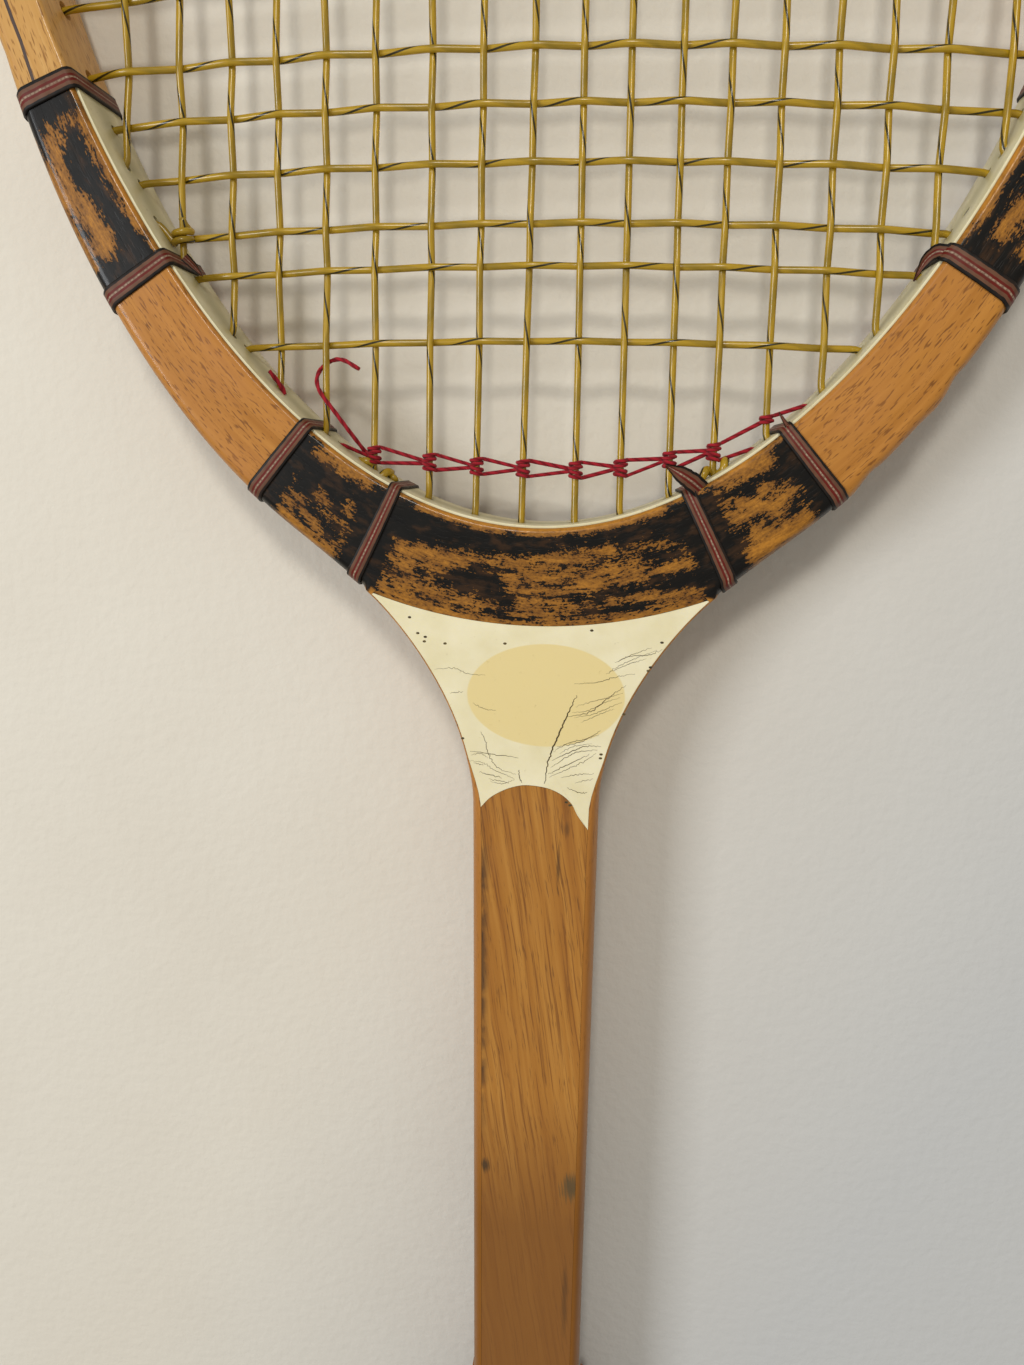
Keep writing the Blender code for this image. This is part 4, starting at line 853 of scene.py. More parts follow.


# Inner facing: a thin strip of cream celluloid glued round the inside of the hoop, from binding to
# binding, a little below the faces. It has yellowed, and it is darker along its row of holes.

FACING_SETBACK = 0.85 * MM
FACING_END = BINDING_ANGLES[0] - radians(0.7)
FACING_CORNER = 0.16 * MM
SUBSURFACE = {"Subsurface_Radius": (1.0 * MM, 0.9 * MM, 0.5 * MM), "Subsurface_Scale": 0.5}

sections = []
for angle in turns(-FACING_END, FACING_END):
    waved = 0.12 * noise.noise(Vector((angle * 9, 3.1, 0))) + 0.05 * noise.noise(Vector((angle * 31, 8.2, 0)))
    high, inner = HALF_DEPTH - FACING_SETBACK + waved * MM, -FACING_THICKNESS
    upper = [(0.0, high), (inner + FACING_CORNER, high), (inner + 0.05 * MM, high - 0.05 * MM)]
    upper += [(inner, high - FACING_CORNER), (inner, high * 0.5)]
    sections.append([at(head_point(angle, d), h) for d, h in mirrored(upper)])
facing = lofted("facing", sections)
worked(facing)
for drill in drills:
    bpy.data.objects.remove(drill, do_unlink=True)

aged_cream, add = new_material("cream celluloid, yellowed, rubbed edges")
where = add("TexCoord")
blotches = add("TexNoise", where, 1 / (7 * MM), 4, 0.6)
cream = add("ValToRGB", blotches, stops=((0.3, "#CBC29A"), (0.7, "#DDD6B4")))
dirt = add("MapRange", add("TexNoise", where, 1 / (0.9 * MM), 3, 0.7), 0.62, 0.76, 0, 0.5)
soiled = add("Mix", dirt, cream, "#8A7A4A")
_, _, height = add("SeparateXYZ", add("Attribute", attribute_name="grain")).node.outputs
# Darker along the middle of the strip's height, where its row of holes runs.
hole_row = add("MapRange", add("Math", height, operation="ABSOLUTE"), 1 * MM, 5 * MM, 0.65, 0)
darker_at_hole_row = add("Mix", hole_row, soiled, "#9A9160")
relief = add("Bump", blotches, 0.3, 0.1 * MM)
add("OutputMaterial", add("BsdfPrincipled", darker_at_hole_row, 0.38, relief, Subsurface_Weight=0.15, **SUBSURFACE))
dress(facing, "inner_facing", aged_cream)


# Throat wedge and shaft core: solid beech and maple inside the throat and the shaft. The laminations, the
# plates and the handle cover them, so the CAD bodies are kept and get their wood.


def plain_wood(name, dark, pale, across, along, rough, coat, nodes):
    """Gives CAD nodes a wood whose grain runs up the racket, with these grain sizes in mm."""
    made, add = new_material(name)
    placed = add("Mapping", add("TexCoord"), [1 / (size * MM) for size in (across, along, across)])
    rings = add("TexNoise", placed, 1, 4)
    tone = add("ValToRGB", rings, stops=((0.3, dark), (0.7, pale)))
    relief = add("Bump", rings, 0.3, 0.1 * MM)
    add("OutputMaterial", add("BsdfPrincipled", tone, rough, relief, Coat_Weight=coat))
    for node in nodes:
        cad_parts[node].data.materials.clear()
        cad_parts[node].data.materials.append(made)


inside = "planed hardwood, unvarnished, inside the throat and shaft"
plain_wood(inside, "#A9743C", "#C9965A", 1.5, 30, 0.6, 0, ("throat_wedge", "shaft_core"))


# Throat overlays: a cover plate of cream celluloid is glued into each face of the throat, up to the
# painted hoop's lower edge and out to the shoulders, with a swallow-tail foot over the shaft. The front
# one has an oval field a little yellower than the rest, and it is cracked and chipped with age.

PLATE_FIT = 0.05 * MM
PLATE_FACE = HALF_DEPTH + 0.03 * MM
OVAL_CENTRE = (1.8 * MM, 34.0 * MM, 0)
OVAL_HALF = (15.5 * MM, 10.3 * MM)
ARCH = ((9.9, 7.3), (8.7, 9.5), (7.5, 11.8), (5.9, 13.4), (4.0, 14.5), (1.7, 15.2))
ARCH += ((-1.8, 15.5), (-4.4, 15.0), (-6.8, 14.0), (-9.1, 12.5), (-10.4, 11.1))


def smooth(points, steps):
    """A Catmull-Rom curve through the points."""
    ends = [points[0] * 2 - points[1]] + points + [points[-1] * 2 - points[-2]]
    made = []
    for a, b, c, d in zip(ends, ends[1:], ends[2:], ends[3:]):
        for k in range(steps):
            t = k / steps
            bend = (2 * a - 5 * b + 4 * c - d) * t**2 + (3 * b - a - 3 * c + d) * t**3
            made.append(0.5 * (2 * b + (c - a) * t + bend))
    return made + [points[-1]]


edge = plate_edge(PLATE_FIT)
arch_right = crossing(edge, (min(y for _, y in ARCH) - 0.7) * MM)[0]
arch_left = crossing(edge, (ARCH[-1][1] - 0.6) * MM)[0]
arch_middle = [Vector((x, y)) * MM for x, y in ARCH[1:-1]]
arch = smooth([arch_right] + arch_middle + [Vector((-arch_left.x, arch_left.y))], 4)
plate_top = [p for p in below_arc(edge, arch[0].y, PLATE_FIT) if p.x > 0 or p.y > arch[-1].y]
overlay_line = plate_top + [p + Vector((0, PLATE_FIT)) for p in reversed(arch)]

aged_plate, add = new_material("cream celluloid plate, aged, with an oval field")
where = add("TexCoord")
blotches = add("TexNoise", where, 1 / (9 * MM), 4, 0.6)
cream = add("ValToRGB", blotches, stops=((0.3, "#E4DAB2"), (0.72, "#F0E8C8")))


def within(add, where, centre, half):
    """How far a place is from an oval's centre: 1 on its edge."""
    apart = add("VectorMath", where, centre, operation="SUBTRACT")
    apart = add("VectorMath", apart, (1 / half[0], 1 / half[1], 0), operation="MULTIPLY")
    return add("VectorMath", apart, operation="LENGTH", out="Value")


field = add("MapRange", within(add, where, OVAL_CENTRE, OVAL_HALF), 0.99, 1.01, 1, 0)
_, _, height = add("SeparateXYZ", where).node.outputs
front_only = add("Math", height, string_plane, operation="GREATER_THAN")
mellow = add("Mix", add("Math", field, front_only, operation="MULTIPLY"), cream, "#E6D398")
dirt = add("MapRange", add("TexNoise", where, 1 / (1.3 * MM), 5, 0.75), 0.63, 0.8, 0, 0.45)
soiled = add("Mix", dirt, mellow, "#A08A55")
relief = add("Bump", add("TexNoise", where, 1 / (5 * MM), 2), 0.35, 0.12 * MM)
add("OutputMaterial", add("BsdfPrincipled", soiled, 0.36, relief, Subsurface_Weight=0.12, **SUBSURFACE))


def face_plates(name, outline, top, material, rubbed=0.0):
    """A plate let into the front and its twin in the back, with edges rubbed round or not."""
    for side, sign in (("front", 1), ("back", -1)):
        low, high = sorted((sign * (CORE_HALF_DEPTH + GAP - 0.1 * MM), sign * top))
        made = plate(f"{name}_{side}_look", outline, low, high)
        if rubbed:
            bevel = made.modifiers.new("rubbed edge", "BEVEL")
            bevel.width, bevel.segments, bevel.limit_method = rubbed, 2, "ANGLE"
            select(made)
            bpy.ops.object.modifier_apply(modifier=bevel.name)
        dress(made, f"{name}_{side}", material)


face_plates("throat_overlay", overlay_line, PLATE_FACE, aged_plate, 0.1 * MM)

# The front plate's cracks: half-width in mm, then places on its face. The specks are places alone.
CRACKS = """
0.16  7.9 34.3  6 29.9  4.3 25.6  2.6 20.8  2 16
0.09  -3.3 18.7  -3.1 17.1  -2.6 16
0.05  -20.2 38.7  -16.3 39  -13.6 38  -10.1 37.8
0.05  -17.2 34  -14.5 34.3
0.05  -12.6 32.1  -10.3 31  -8 30.7
0.07  -11 26.3  -10.1 24.6  -9.4 21.8  -7.5 19  -3.8 17.7
0.07  -13.1 22.2  -3.4 21.2
0.05  -12.4 19.8  -10.3 19.4
0.07  -11.2 17.9  -6.6 16.9
0.06  -9.3 16.6  -5.2 15.9
0.06  15.1 41  18.1 42.4  21.6 42.7  24.2 43.9
0.05  13.8 38.9  17.8 40.8  21.2 42
0.06  7.4 36.6  11.7 37  14.8 38  19.1 39
0.08  6 29.9  10.5 31  14 33.9  17.4 36.6
0.07  4.3 23.8  8.9 24.9  12.9 27.4
0.08  3.3 20.9  6.2 22.4  9.8 24  13 24.1
0.07  3.1 19.4  7.6 22.5  12 23.4
0.08  2.6 18  6.2 20  10.7 22.4
0.06  5.2 17.4  8.6 18.2  11.6 18.4
0.07  6.4 15.3  9.1 14.4  10.5 14.5
0.05  13.5 38.7  16 40.4  19.1 42  23.1 43.7
0.05  15.6 41.3  18.7 42.8  22.2 44.2
0.05  7.7 32  11.1 33.2  14.2 34.1  16.9 35.1
0.05  7.1 30.8  10.2 31.3  13.3 33  16.4 34.1
0.05  7.5 29.8  11.1 30.6  14.2 32  16.7 33.2
0.05  8.9 28.9  12.4 30.6  15.1 31.8
0.06  3.5 22.7  6.6 24.6  9.8 25.5  12.4 26.5
0.05  4.8 22.4  7.5 23.9  11.1 24.6
0.06  2.8 17.4  6.2 19.1  9.8 21  12 22.7
0.05  8 16.4  11.5 17.4
0.05  -13.2 20.3  -10.3 19.8  -8.1 18.4  -5.5 17.4  -4.1 16.7
0.05  -9 16  -6.3 15.7  -4.1 16.7
0.05  -12.9 21.4  -11 21.8  -9.6 21
"""
SPECKS = """
-25.1 48.9  -23.5 45.8  -22 45.1  -22.2 44.2  -18.1 43.9  -6.3 44.2  10.5 47.2  24 45.2
13 22.5  12.9 21.7  17.2 30.8  22 40.3  21.6 39.6  6.4 12.3  7.1 11.7  -14.6 24.8
"""
dirt_in_cracks, add = new_material("dirt packed in cracks, matt brown black")
breaks = add("TexNoise", add("TexCoord"), 1 / (0.8 * MM), 3)
tone = add("ValToRGB", breaks, stops=((0.35, "#2B2214"), (0.7, "#6E5C34")))
add("OutputMaterial", add("BsdfPrincipled", tone, 0.85))
strands = []
for number, (half_width, places) in enumerate(rows(CRACKS, 1)):
    line = []
    for k, point in enumerate(smooth([Vector((x, y, 0)) * MM for x, y in places], 14)):
        shift = [noise.noise(Vector((k * 0.55, number, seed))) for seed in (0, 7)]
        line.append(at(point + Vector((*shift, 0)) * 0.35 * MM, PLATE_FACE))
    swell = [0.35 + 0.65 * sin(pi * (k + 0.5) / len(line)) for k in range(len(line))]
    made = tube("crack", line, [half_width * MM * share for share in swell], 6)
    for vertex in made.data.vertices:
        vertex.co.z = string_plane + PLATE_FACE + (vertex.co.z - string_plane - PLATE_FACE) * 0.3
    strands.append(made)
for (places,) in rows(SPECKS, 0):
    for x, y in places:
        bpy.ops.mesh.primitive_uv_sphere_add(segments=10, ring_count=6, radius=0.24 * MM)
        centre = Matrix.Translation(at(Vector((x, y)) * MM, PLATE_FACE))
        bpy.context.object.data.transform(centre @ Matrix.Diagonal((1.5, 1, 0.12, 1)))
        strands.append(bpy.context.object)
for made in strands:
    made.data.materials.append(dirt_in_cracks)
cracks = joined(strands)
cracks.name = "overlay_cracks"
dress(cracks)


# Shaft faces: an ash veneer plate let into each face of the shaft, from the handle to the arch. Its
# grain runs a little across the shaft, it is darker towards the bottom, and it is stained along the
# joint on the left.

foot = PALLET_END_Y + 0.6 * MM
sides = []
for top in (arch[0].y, arch[-1].y):
    sides.append(crossing(edge, foot)[:1] + [p for p in edge if foot < p.y < top])
face_line = sides[0] + [p - Vector((0, PLATE_FIT / 2)) for p in arch] + flipped(sides[1])

ash, add = new_material("ash veneer, varnished, darker towards the bottom")
where = add("TexCoord")
x, y, _ = add("SeparateXYZ", where).node.outputs
leaned = add("Mapping", where, Rotation=(0, 0, radians(-8.5)))
wave = add("MapRange", add("TexNoise", leaned, 1 / (24 * MM), 1), 0, 1, -0.9 * MM, 0.9 * MM)
bent = add("VectorMath", leaned, add("CombineXYZ", wave))
layers = []
for across, along in ((1.7, 80), (0.4, 22), (0.24, 4.5)):
    placed = add("Mapping", bent, [1 / (size * MM) for size in (across, along, across)])
    layers.append(add("TexNoise", placed, 1, 2))
growth = add("ValToRGB", layers[0], stops=((0.32, "#9A611A"), (0.5, "#A97024"), (0.68, "#B67E31")))
lined = add("Mix", add("MapRange", layers[1], 0.54, 0.68, 0, 0.85), growth, "#7A480F")
pores = add("MapRange", layers[2], 0.6, 0.74, 0, 0.7)
pored = add("Mix", pores, lined, "#5C340C")
DARK_FROM_Y = -60 * MM
# The veneer turns darker towards the bottom of the shaft, from DARK_FROM_Y down.
dark = add("MapRange", y, DARK_FROM_Y - 26 * MM, DARK_FROM_Y + 6 * MM, 0.84, 0)
rubbed = add("Mix", dark, pored, "#7C4C0E")
smears = add("TexNoise", where, 1 / (6 * MM), 3)
# The stain keeps to the left joint, fades out above the arch and stops above the grip.
stain = add("MapRange", x, -10.2 * MM, -8.8 * MM, 1, 0)
for share in (
    add("MapRange", y, -4 * MM, 6 * MM, 1, 0.1),
    add("MapRange", smears, 0.25, 0.5, 0, 0.8),
    add("MapRange", y, -68 * MM, -48 * MM),
):
    stain = add("Math", stain, share, operation="MULTIPLY")
stained = add("Mix", stain, rubbed, "#3E2610")
# Handling marks: centre, half size, strength and colour.
for middle, half, strength, tint in (
    ((9.2, -75.6), (2.6, 4.2), 0.8, "#4A4026"),
    ((-9.4, -71.6), (1.1, 2.2), 0.85, "#38280F"),
    ((5.0, -1.5), (0.5, 6.5), 0.75, "#4E300C"),
    ((6.6, 6.5), (0.9, 2.0), 0.6, "#5A380F"),
    ((8.6, -104.0), (0.8, 12.0), 0.6, "#523208"),
):
    apart = within(add, where, (middle[0] * MM, middle[1] * MM, 0), [size * MM for size in half])
    broken = add("Math", layers[2], -1.6, apart, operation="MULTIPLY_ADD")
    stained = add("Mix", add("MapRange", broken, -0.5, 0.2, strength, 0), stained, tint)
rough = add("MapRange", smears, 0, 1, 0.3, 0.55)
relief = add("Bump", add("Math", pores, -1.0, operation="MULTIPLY"), 0.5, 0.05 * MM)
add("OutputMaterial", add("BsdfPrincipled", stained, rough, relief, Coat_Weight=0.2, Coat_Roughness=0.3))
face_plates("shaft_face", face_line, HALF_DEPTH, ash)


# Handle: four hardwood pallets glued round the shaft make the octagon under the leather. They show only
# where they taper out above the collar.

pallets = ["handle_pallet_" + side for side in ("front", "back", "left", "right")]
plain_wood("hardwood pallet, varnished, end grain darkened", "#8A5216", "#A96D2C", 1.2, 35, 0.4, 0.2, pallets)


# Leather grip: one long strip of brown calf, 25 mm wide, wound up the handle in a spiral whose turns
# overlap, punched with rows of small holes and darkened by hands.

GRIP_HALF = (16.75 * MM, 14.75 * MM)
GRIP_CORNERS = (9.0 * MM, 8.4 * MM)
LEATHER_THICKNESS = 1.5 * MM
WINDING = 24 * MM
OVERLAP = 0.45 * MM
OVERLAP_SHARE = 0.06
COLLAR_LENGTH = 11 * MM


def octagon(half_width, half_depth, corners=GRIP_CORNERS, points_a_side=4):
    """An octagon's points, with each side cut into equal parts, as (across, up)."""
    flat_x, flat_z = half_width - corners[0], half_depth - corners[1]
    quarter = [(half_width, flat_z), (flat_x, half_depth)]
    upper = quarter + [(-x, z) for x, z in reversed(quarter)]
    ring = upper + [(-x, -z) for x, z in upper]
    made = []
    for (x1, z1), (x2, z2) in zip(ring, ring[1:] + ring[:1]):
        for k in range(points_a_side):
            made.append((x1 + (x2 - x1) * k / points_a_side, z1 + (z2 - z1) * k / points_a_side))
    return made


def sleeve(name, foot, top, steps, ring, bore, lift):
    """A sleeve on the handle: an octagon raised by lift(y, place in the ring), with a plain bore."""
    outer = []
    for step in range(steps + 1):
        y = foot + (top - foot) * step / steps
        swells = [lift(y, k) for k in range(len(ring))]
        sizes = [(1 + swell / GRIP_HALF[0], 1 + swell / GRIP_HALF[1]) for swell in swells]
        outer.append([at((x * size_x, y), z * size_z) for (x, z), (size_x, size_z) in zip(ring, sizes)])
    ends = [[at((x, y), z) for x, z in bore] for y in (foot, top)]
    return lofted(name, [ends[0]] + outer + [ends[1]], closed=True)


def wound_lift(y, k):
    """How high the wound strip stands at a place: it rises fast over the turn below and sinks slowly."""
    phase = (y / WINDING + k / 48) % 1.0
    rise = 1 - phase if phase > OVERLAP_SHARE else phase / OVERLAP_SHARE
    return OVERLAP * rise - 0.1 * MM


bore = octagon(GRIP_HALF[0] - LEATHER_THICKNESS, GRIP_HALF[1] - LEATHER_THICKNESS, (8.2 * MM, 7.6 * MM), 6)
ring = octagon(*GRIP_HALF, points_a_side=6)
grip = sleeve("leather_grip_look", HANDLE_FOOT_Y, HANDLE_TOP_Y, 240, ring, bore, wound_lift)
shade(grip, 30)
leather, add = new_material("brown calf leather strip, punched, darkened by hands")
where = add("TexCoord")
pits = add("TexVoronoi", where, 1 / (0.9 * MM))
wear = add("TexNoise", where, 1 / (14 * MM), 5, 0.65)
hide = add("ValToRGB", wear, stops=((0.3, "#3A2012"), (0.55, "#5E3820"), (0.75, "#7A4E2E")))
# Painted shade: the punched holes are coloured near black for the shade down inside them, and the bump sinks
# them.
holes = add("MapRange", add("TexVoronoi", where, 1 / (3.2 * MM), 0.0), 0.12, 0.17, 1, 0)
holes_painted_shade = add("Mix", holes, hide, "#140B06")
deep = add("Math", holes, -3.0, operation="MULTIPLY")
relief = add("Bump", add("Math", pits, deep), 0.5, 0.12 * MM)
rough = add("MapRange", wear, 0, 1, 0.75, 0.4)
add("OutputMaterial", add("BsdfPrincipled", holes_painted_shade, rough, relief))
dress(grip, "leather_grip", leather)


# Collar: a black rubber ring that holds down the top end of the leather, with two moulded beads.

COLLAR_FOOT_Y = HANDLE_TOP_Y - COLLAR_LENGTH


def beaded_lift(y, _):
    """The collar's swelling at a height, with its beads and its rounded ends."""
    share = (y - COLLAR_FOOT_Y) / COLLAR_LENGTH
    bead = 0.35 * MM * max(0.0, cos(4 * pi * (share - 0.5))) + 0.75 * MM
    return bead * min(1.0, 6 * min(share, 1 - share) + 0.35)


ring, bore = (octagon(GRIP_HALF[0] + grow * MM, GRIP_HALF[1] + grow * MM) for grow in (0.32, 0.3))
collar = sleeve("grip_collar_look", COLLAR_FOOT_Y, HANDLE_TOP_Y, 44, ring, bore, beaded_lift)
shade(collar, 40)
rubber, add = new_material("black rubber, dusty, matt")
dust = add("TexNoise", add("TexCoord"), 1 / (5 * MM), 6, 0.7)
tone = add("ValToRGB", dust, stops=((0.35, "#1B1A19"), (0.75, "#34312E")))
add("OutputMaterial", add("BsdfPrincipled", tone, 0.7, add("Bump", dust, 0.3, 0.1 * MM)))
dress(collar, "grip_collar", rubber)


# Butt cap: a moulded vinyl cap tacked over the handle's foot, flared, with rounded edges and a shallow
# sunk panel in its end.

BUTT_HALF = (19, 17)
BUTT_CORNERS = (9.6 * MM, 9.0 * MM)
BUTT_PROFILE = ((9.0, 2.2), (8.2, 1.6), (7.0, 0.9), (5.6, 0.35), (4.2, 0.05))
BUTT_PROFILE += ((2.6, 0.0), (1.5, 0.18), (0.7, 0.62), (0.2, 1.25), (0.0, 2.0))
butt_y = butt_low[1]
rings = []
for along, inwards in BUTT_PROFILE:
    ring = octagon(*[(half - inwards) * MM for half in BUTT_HALF], BUTT_CORNERS)
    rings.append([at((x, butt_y + along * MM), z) for x, z in ring])
butt = lofted("butt_cap_look", rings)
shape = bmesh.new()
shape.from_mesh(butt.data)
end_faces = [face for face in shape.faces if face.calc_center_median().y < butt_y + 0.01 * MM]
panel = [face for face in end_faces if len(face.verts) > 4]
bmesh.ops.inset_region(shape, faces=panel, thickness=3.2 * MM, use_even_offset=True)
bmesh.ops.inset_region(shape, faces=panel, thickness=0.5 * MM, depth=-0.5 * MM, use_even_offset=True)
shape.to_mesh(butt.data)
shape.free()
shade(butt, 40)
vinyl, add = new_material("black vinyl, moulded, scuffed satin")
scuffs = add("TexNoise", add("TexCoord"), 1 / (3 * MM), 6, 0.75)
tone = add("ValToRGB", scuffs, stops=((0.4, "#201C1A"), (0.68, "#2E2926"), (0.8, "#4A433D")))
rough = add("MapRange", scuffs, 0, 1, 0.3, 0.6)
add("OutputMaterial", add("BsdfPrincipled", tone, rough, add("Bump", scuffs, 0.2, 0.1 * MM)))
dress(butt, "butt_cap", vinyl)


# Bindings: eight tapes wound round the hoop where the overlays end, four a side. Each is a woven ribbon
# with black edges, tan and red stripes and a dashed white middle, varnished over.

BINDING_WIDTH = 3.9 * MM
BINDING_THICKNESS = 0.45 * MM
STITCH = 0.8 * MM
TAPE_STRIPES = ((0.0, "#14110F"), (0.15, "#6A4734"), (0.32, "#64180F"), (0.44, "#6E4A3A"))
TAPE_STRIPES += ((0.56, "#64180F"), (0.68, "#6A4734"), (0.85, "#14110F"))

tape, add = new_material("woven binding ribbon, striped, varnished, soiled")
ribbon = add("Attribute", attribute_name="ribbon")
along, across, _ = add("SeparateXYZ", ribbon).node.outputs
frayed = add("TexNoise", ribbon, 1 / (0.9 * MM), 3)
across = add("Math", across, add("MapRange", frayed, 0, 1, -0.12 * MM, 0.12 * MM))
share = add("Math", across, 1 / BINDING_WIDTH, operation="MULTIPLY")
stripes = add("ValToRGB", share, stops=TAPE_STRIPES)
stripes.node.color_ramp.interpolation = "CONSTANT"
dash = add("Math", add("Math", along, STITCH, operation="MODULO"), 0.62 * STITCH, operation="LESS_THAN")
middle = add("Math", add("Math", share, 0.51, operation="SUBTRACT"), operation="ABSOLUTE")
in_middle = add("Math", middle, 0.04, operation="LESS_THAN")
white = add("Math", dash, 0.6, 0.4, operation="MULTIPLY_ADD")
for share in (add("MapRange", frayed, 0.3, 0.6, 0.05, 0.65), in_middle):
    white = add("Math", white, share, operation="MULTIPLY")
dashed = add("Mix", white, stripes, "#BDAC94")
soil = add("MapRange", add("TexNoise", ribbon, 1 / (2.2 * MM), 4), 0.45, 0.75, 0, 0.45)
soiled = add("Mix", soil, dashed, "#3A2A20")
threads = add("TexWave", ribbon, 1 / (0.45 * MM) / 20, 0.4, out="Fac")
relief = add("Bump", threads, 0.5, 0.08 * MM)
add("OutputMaterial", add("BsdfPrincipled", soiled, 0.5, relief, Specular_IOR_Level=0.22))


def taped(name, sections, places, closed, replaced=None):
    """A length of the tape over these sections. Places are its points' (along, across) in the ribbon."""
    made = lofted(name, sections, closed)
    layer = made.data.attributes.new("ribbon", "FLOAT_VECTOR", "POINT")
    for k, (along, across) in enumerate(places):
        layer.data[k].vector = (along, across, 0)
    shade(made, 60)
    dress(made, replaced, tape)


def binding_ring(angle):
    """Points round the hoop's section, as (out from the inner outline, height) and the way out of it."""
    width, inner = hoop_width(angle), -FACING_THICKNESS
    ring = [(inner, 0.3 * HALF_DEPTH, -1, 0), (inner, HALF_DEPTH - 0.8 * MM, -1, 0)]
    ring += [(inner + 0.3 * MM, HALF_DEPTH - 0.2 * MM, -0.7, 0.7), (0.4 * MM, HALF_DEPTH, 0, 1)]
    ring += [(0.5 * width, HALF_DEPTH, 0, 1), (width - EDGE_ACROSS, HALF_DEPTH, 0, 1)]
    for k in range(1, 7):
        turned = radians(15 * k)
        out, height = width - EDGE_ACROSS * (1 - sin(turned)), HALF_DEPTH - EDGE_DOWN * (1 - cos(turned))
        ring.append((out, height, sin(turned), cos(turned)))
    ring.append((width, 1.5 * MM, 1, 0))
    return ring + [(out, -height, x, -z) for out, height, x, z in reversed(ring)]


# Across the tape, from edge to edge: a share of its half width, and how far it stands off the hoop.
TAPE_SECTION = ((-1.0, 0.02), (-1.0, 0.75), (-0.9, 1.0), (-0.45, 0.92), (0.0, 1.0))
TAPE_SECTION += ((0.45, 0.92), (0.9, 1.0), (1.0, 0.75), (1.0, 0.02))
for side, sign in (("left", -1), ("right", 1)):
    for number, middle_angle in enumerate(BINDING_ANGLES, start=1):
        angle = sign * middle_angle
        half_turn = BINDING_WIDTH / 2 / (HEAD_INNER_LENGTH / 2 + hoop_width(angle) / 2)
        places, sections = [], []
        for share, lift in TAPE_SECTION:
            turn, grow = angle + half_turn * share, 0.02 * MM + lift * BINDING_THICKNESS
            section, along = [], 0.0
            for k, (out, height, x, z) in enumerate(binding_ring(turn)):
                wobble = 0.05 * MM * noise.noise(Vector((k * 0.9, share * 2, number + 5 * sign)))
                skew = 0.004 * noise.noise(Vector((k * 0.35, 3.0, number + 9 * sign)))
                point = at(head_point(turn + skew * 0.6, out + x * grow), height + z * grow)
                section.append(point + Vector((0, 0, wobble * z)))
                along += (section[-1] - section[-2]).length if k else 0.0
                places.append((along, (share + 1) * BINDING_WIDTH / 2))
            sections.append(section)
        taped(f"binding_{side}_{number}_look", sections, places, True, f"binding_{side}_{number}")


def flap(name, row, half_widths, curled):
    """A torn end of the tape, along a row of places in mm, its edges curled up."""
    line = smooth(spots(row), 5)
    places, sections, along = [], [], 0.0
    shares = (-1, -0.5, 0, 0.5, 1)
    for k, point in enumerate(line):
        ahead = direction(line, k)
        side = ahead.cross(Vector((0, 0, 1))).normalized()
        along += (point - line[k - 1]).length if k else 0.0
        step = k / (len(line) - 1) * (len(half_widths) - 1)
        first = min(int(step), len(half_widths) - 2)
        half = half_widths[first] + (half_widths[first + 1] - half_widths[first]) * (step - first)
        half += 0.12 * noise.noise(Vector((k * 0.8, 1.0, half_widths[0])))
        section = []
        for share, sunk in [(s, 0.0) for s in shares] + [(s, 0.3) for s in reversed(shares)]:
            lifted = side.cross(ahead) * (curled * share**2 - sunk) * MM
            section.append(point + side * share * max(half, 0.08) * MM + lifted)
            places.append((along, (0.5 + 0.5 * share) * BINDING_WIDTH))
        sections.append(section)
    taped(name, sections, places, False)


# Torn inner ends of four tapes, lifted off the hoop's inner wall: half-widths, curl and places in mm.
for name, half_widths, curled, places in (
    ("right_4", (1.7, 1.8, 1.5, 0.2), 0.7, "30 74.2 9  28.2 75.6 10  26 77 10.4  23.3 78.5 9.8"),
    ("right_2", (1.3, 1.2, 0.9, 0.12), 0.5, "70.6 115.2 8.8  68.9 115.6 7.9  67.4 114.4 6.6  66 111.2 5.2"),
    ("right_3", (0.7, 0.4, 0.1), 0.2, "45.8 85 8.9  44.6 86.2 9.4  43.2 88.2 9.6"),
    ("left_2", (0.9, 0.7, 0.1), 0.3, "-68.8 116.3 4.4  -67.3 114.7 3.6  -65.9 113 3"),
):
    flap("tape_end_" + name, places, half_widths, curled)


# Main string: one length of amber nylon, 1.35 mm thick, woven up and down through the head. It is drawn
# tight through holes in the hoop and runs in the channel outside. One end is tied round the second main
# string on the left, and the other is cut off at its hole. A dark filament winds round its clear core.

WEAVE = (STRING_DIAMETER + 0.1 * MM) / 2
NO_CROSSING = 2.5 * MM
NEAR_WALL = 5.0 * MM
TIE_RADIUS = 1.6 * MM
TIE_PITCH = 1.5 * MM
TIE_START = 4.2 * MM
TIE_TURNS = 1.6
FILAMENT_PITCH = 19.0 * MM


def wall_gap(x, y):
    """How far a point of the string plane is from the inner outline, across or along."""
    if not THROAT_Y < y < INNER_TIP_Y:
        return 0.0
    wall_angle = solve(lambda a: head_point(a).y - y, 0, pi)
    low = head_point(solve(lambda a: head_point(a).x - abs(x), 0, WIDEST_ANGLE))
    high = head_point(solve(lambda a: abs(x) - head_point(a).x, WIDEST_ANGLE, pi))
    return min(head_point(wall_angle).x - abs(x), y - low.y, high.y - y)


def through_hoop(angle, row=HOLE_ROW):
    """Points of a string that goes out through the hoop: its bend inside, and its channel corner."""
    depth = hoop_width(angle) - GROOVE_DEPTH + STRING_DIAMETER / 2
    return [at(head_point(angle, -BEND_HEIGHT), row), at(head_point(angle, depth), row)]


def groove_run(first, last, row=HOLE_ROW):
    """Points in the outer channel between two holes, without the holes' own corners."""
    steps = max(1, round(abs(last - first) / radians(2)))
    return [through_hoop(first + (last - first) * k / steps, row)[1] for k in range(1, steps)]


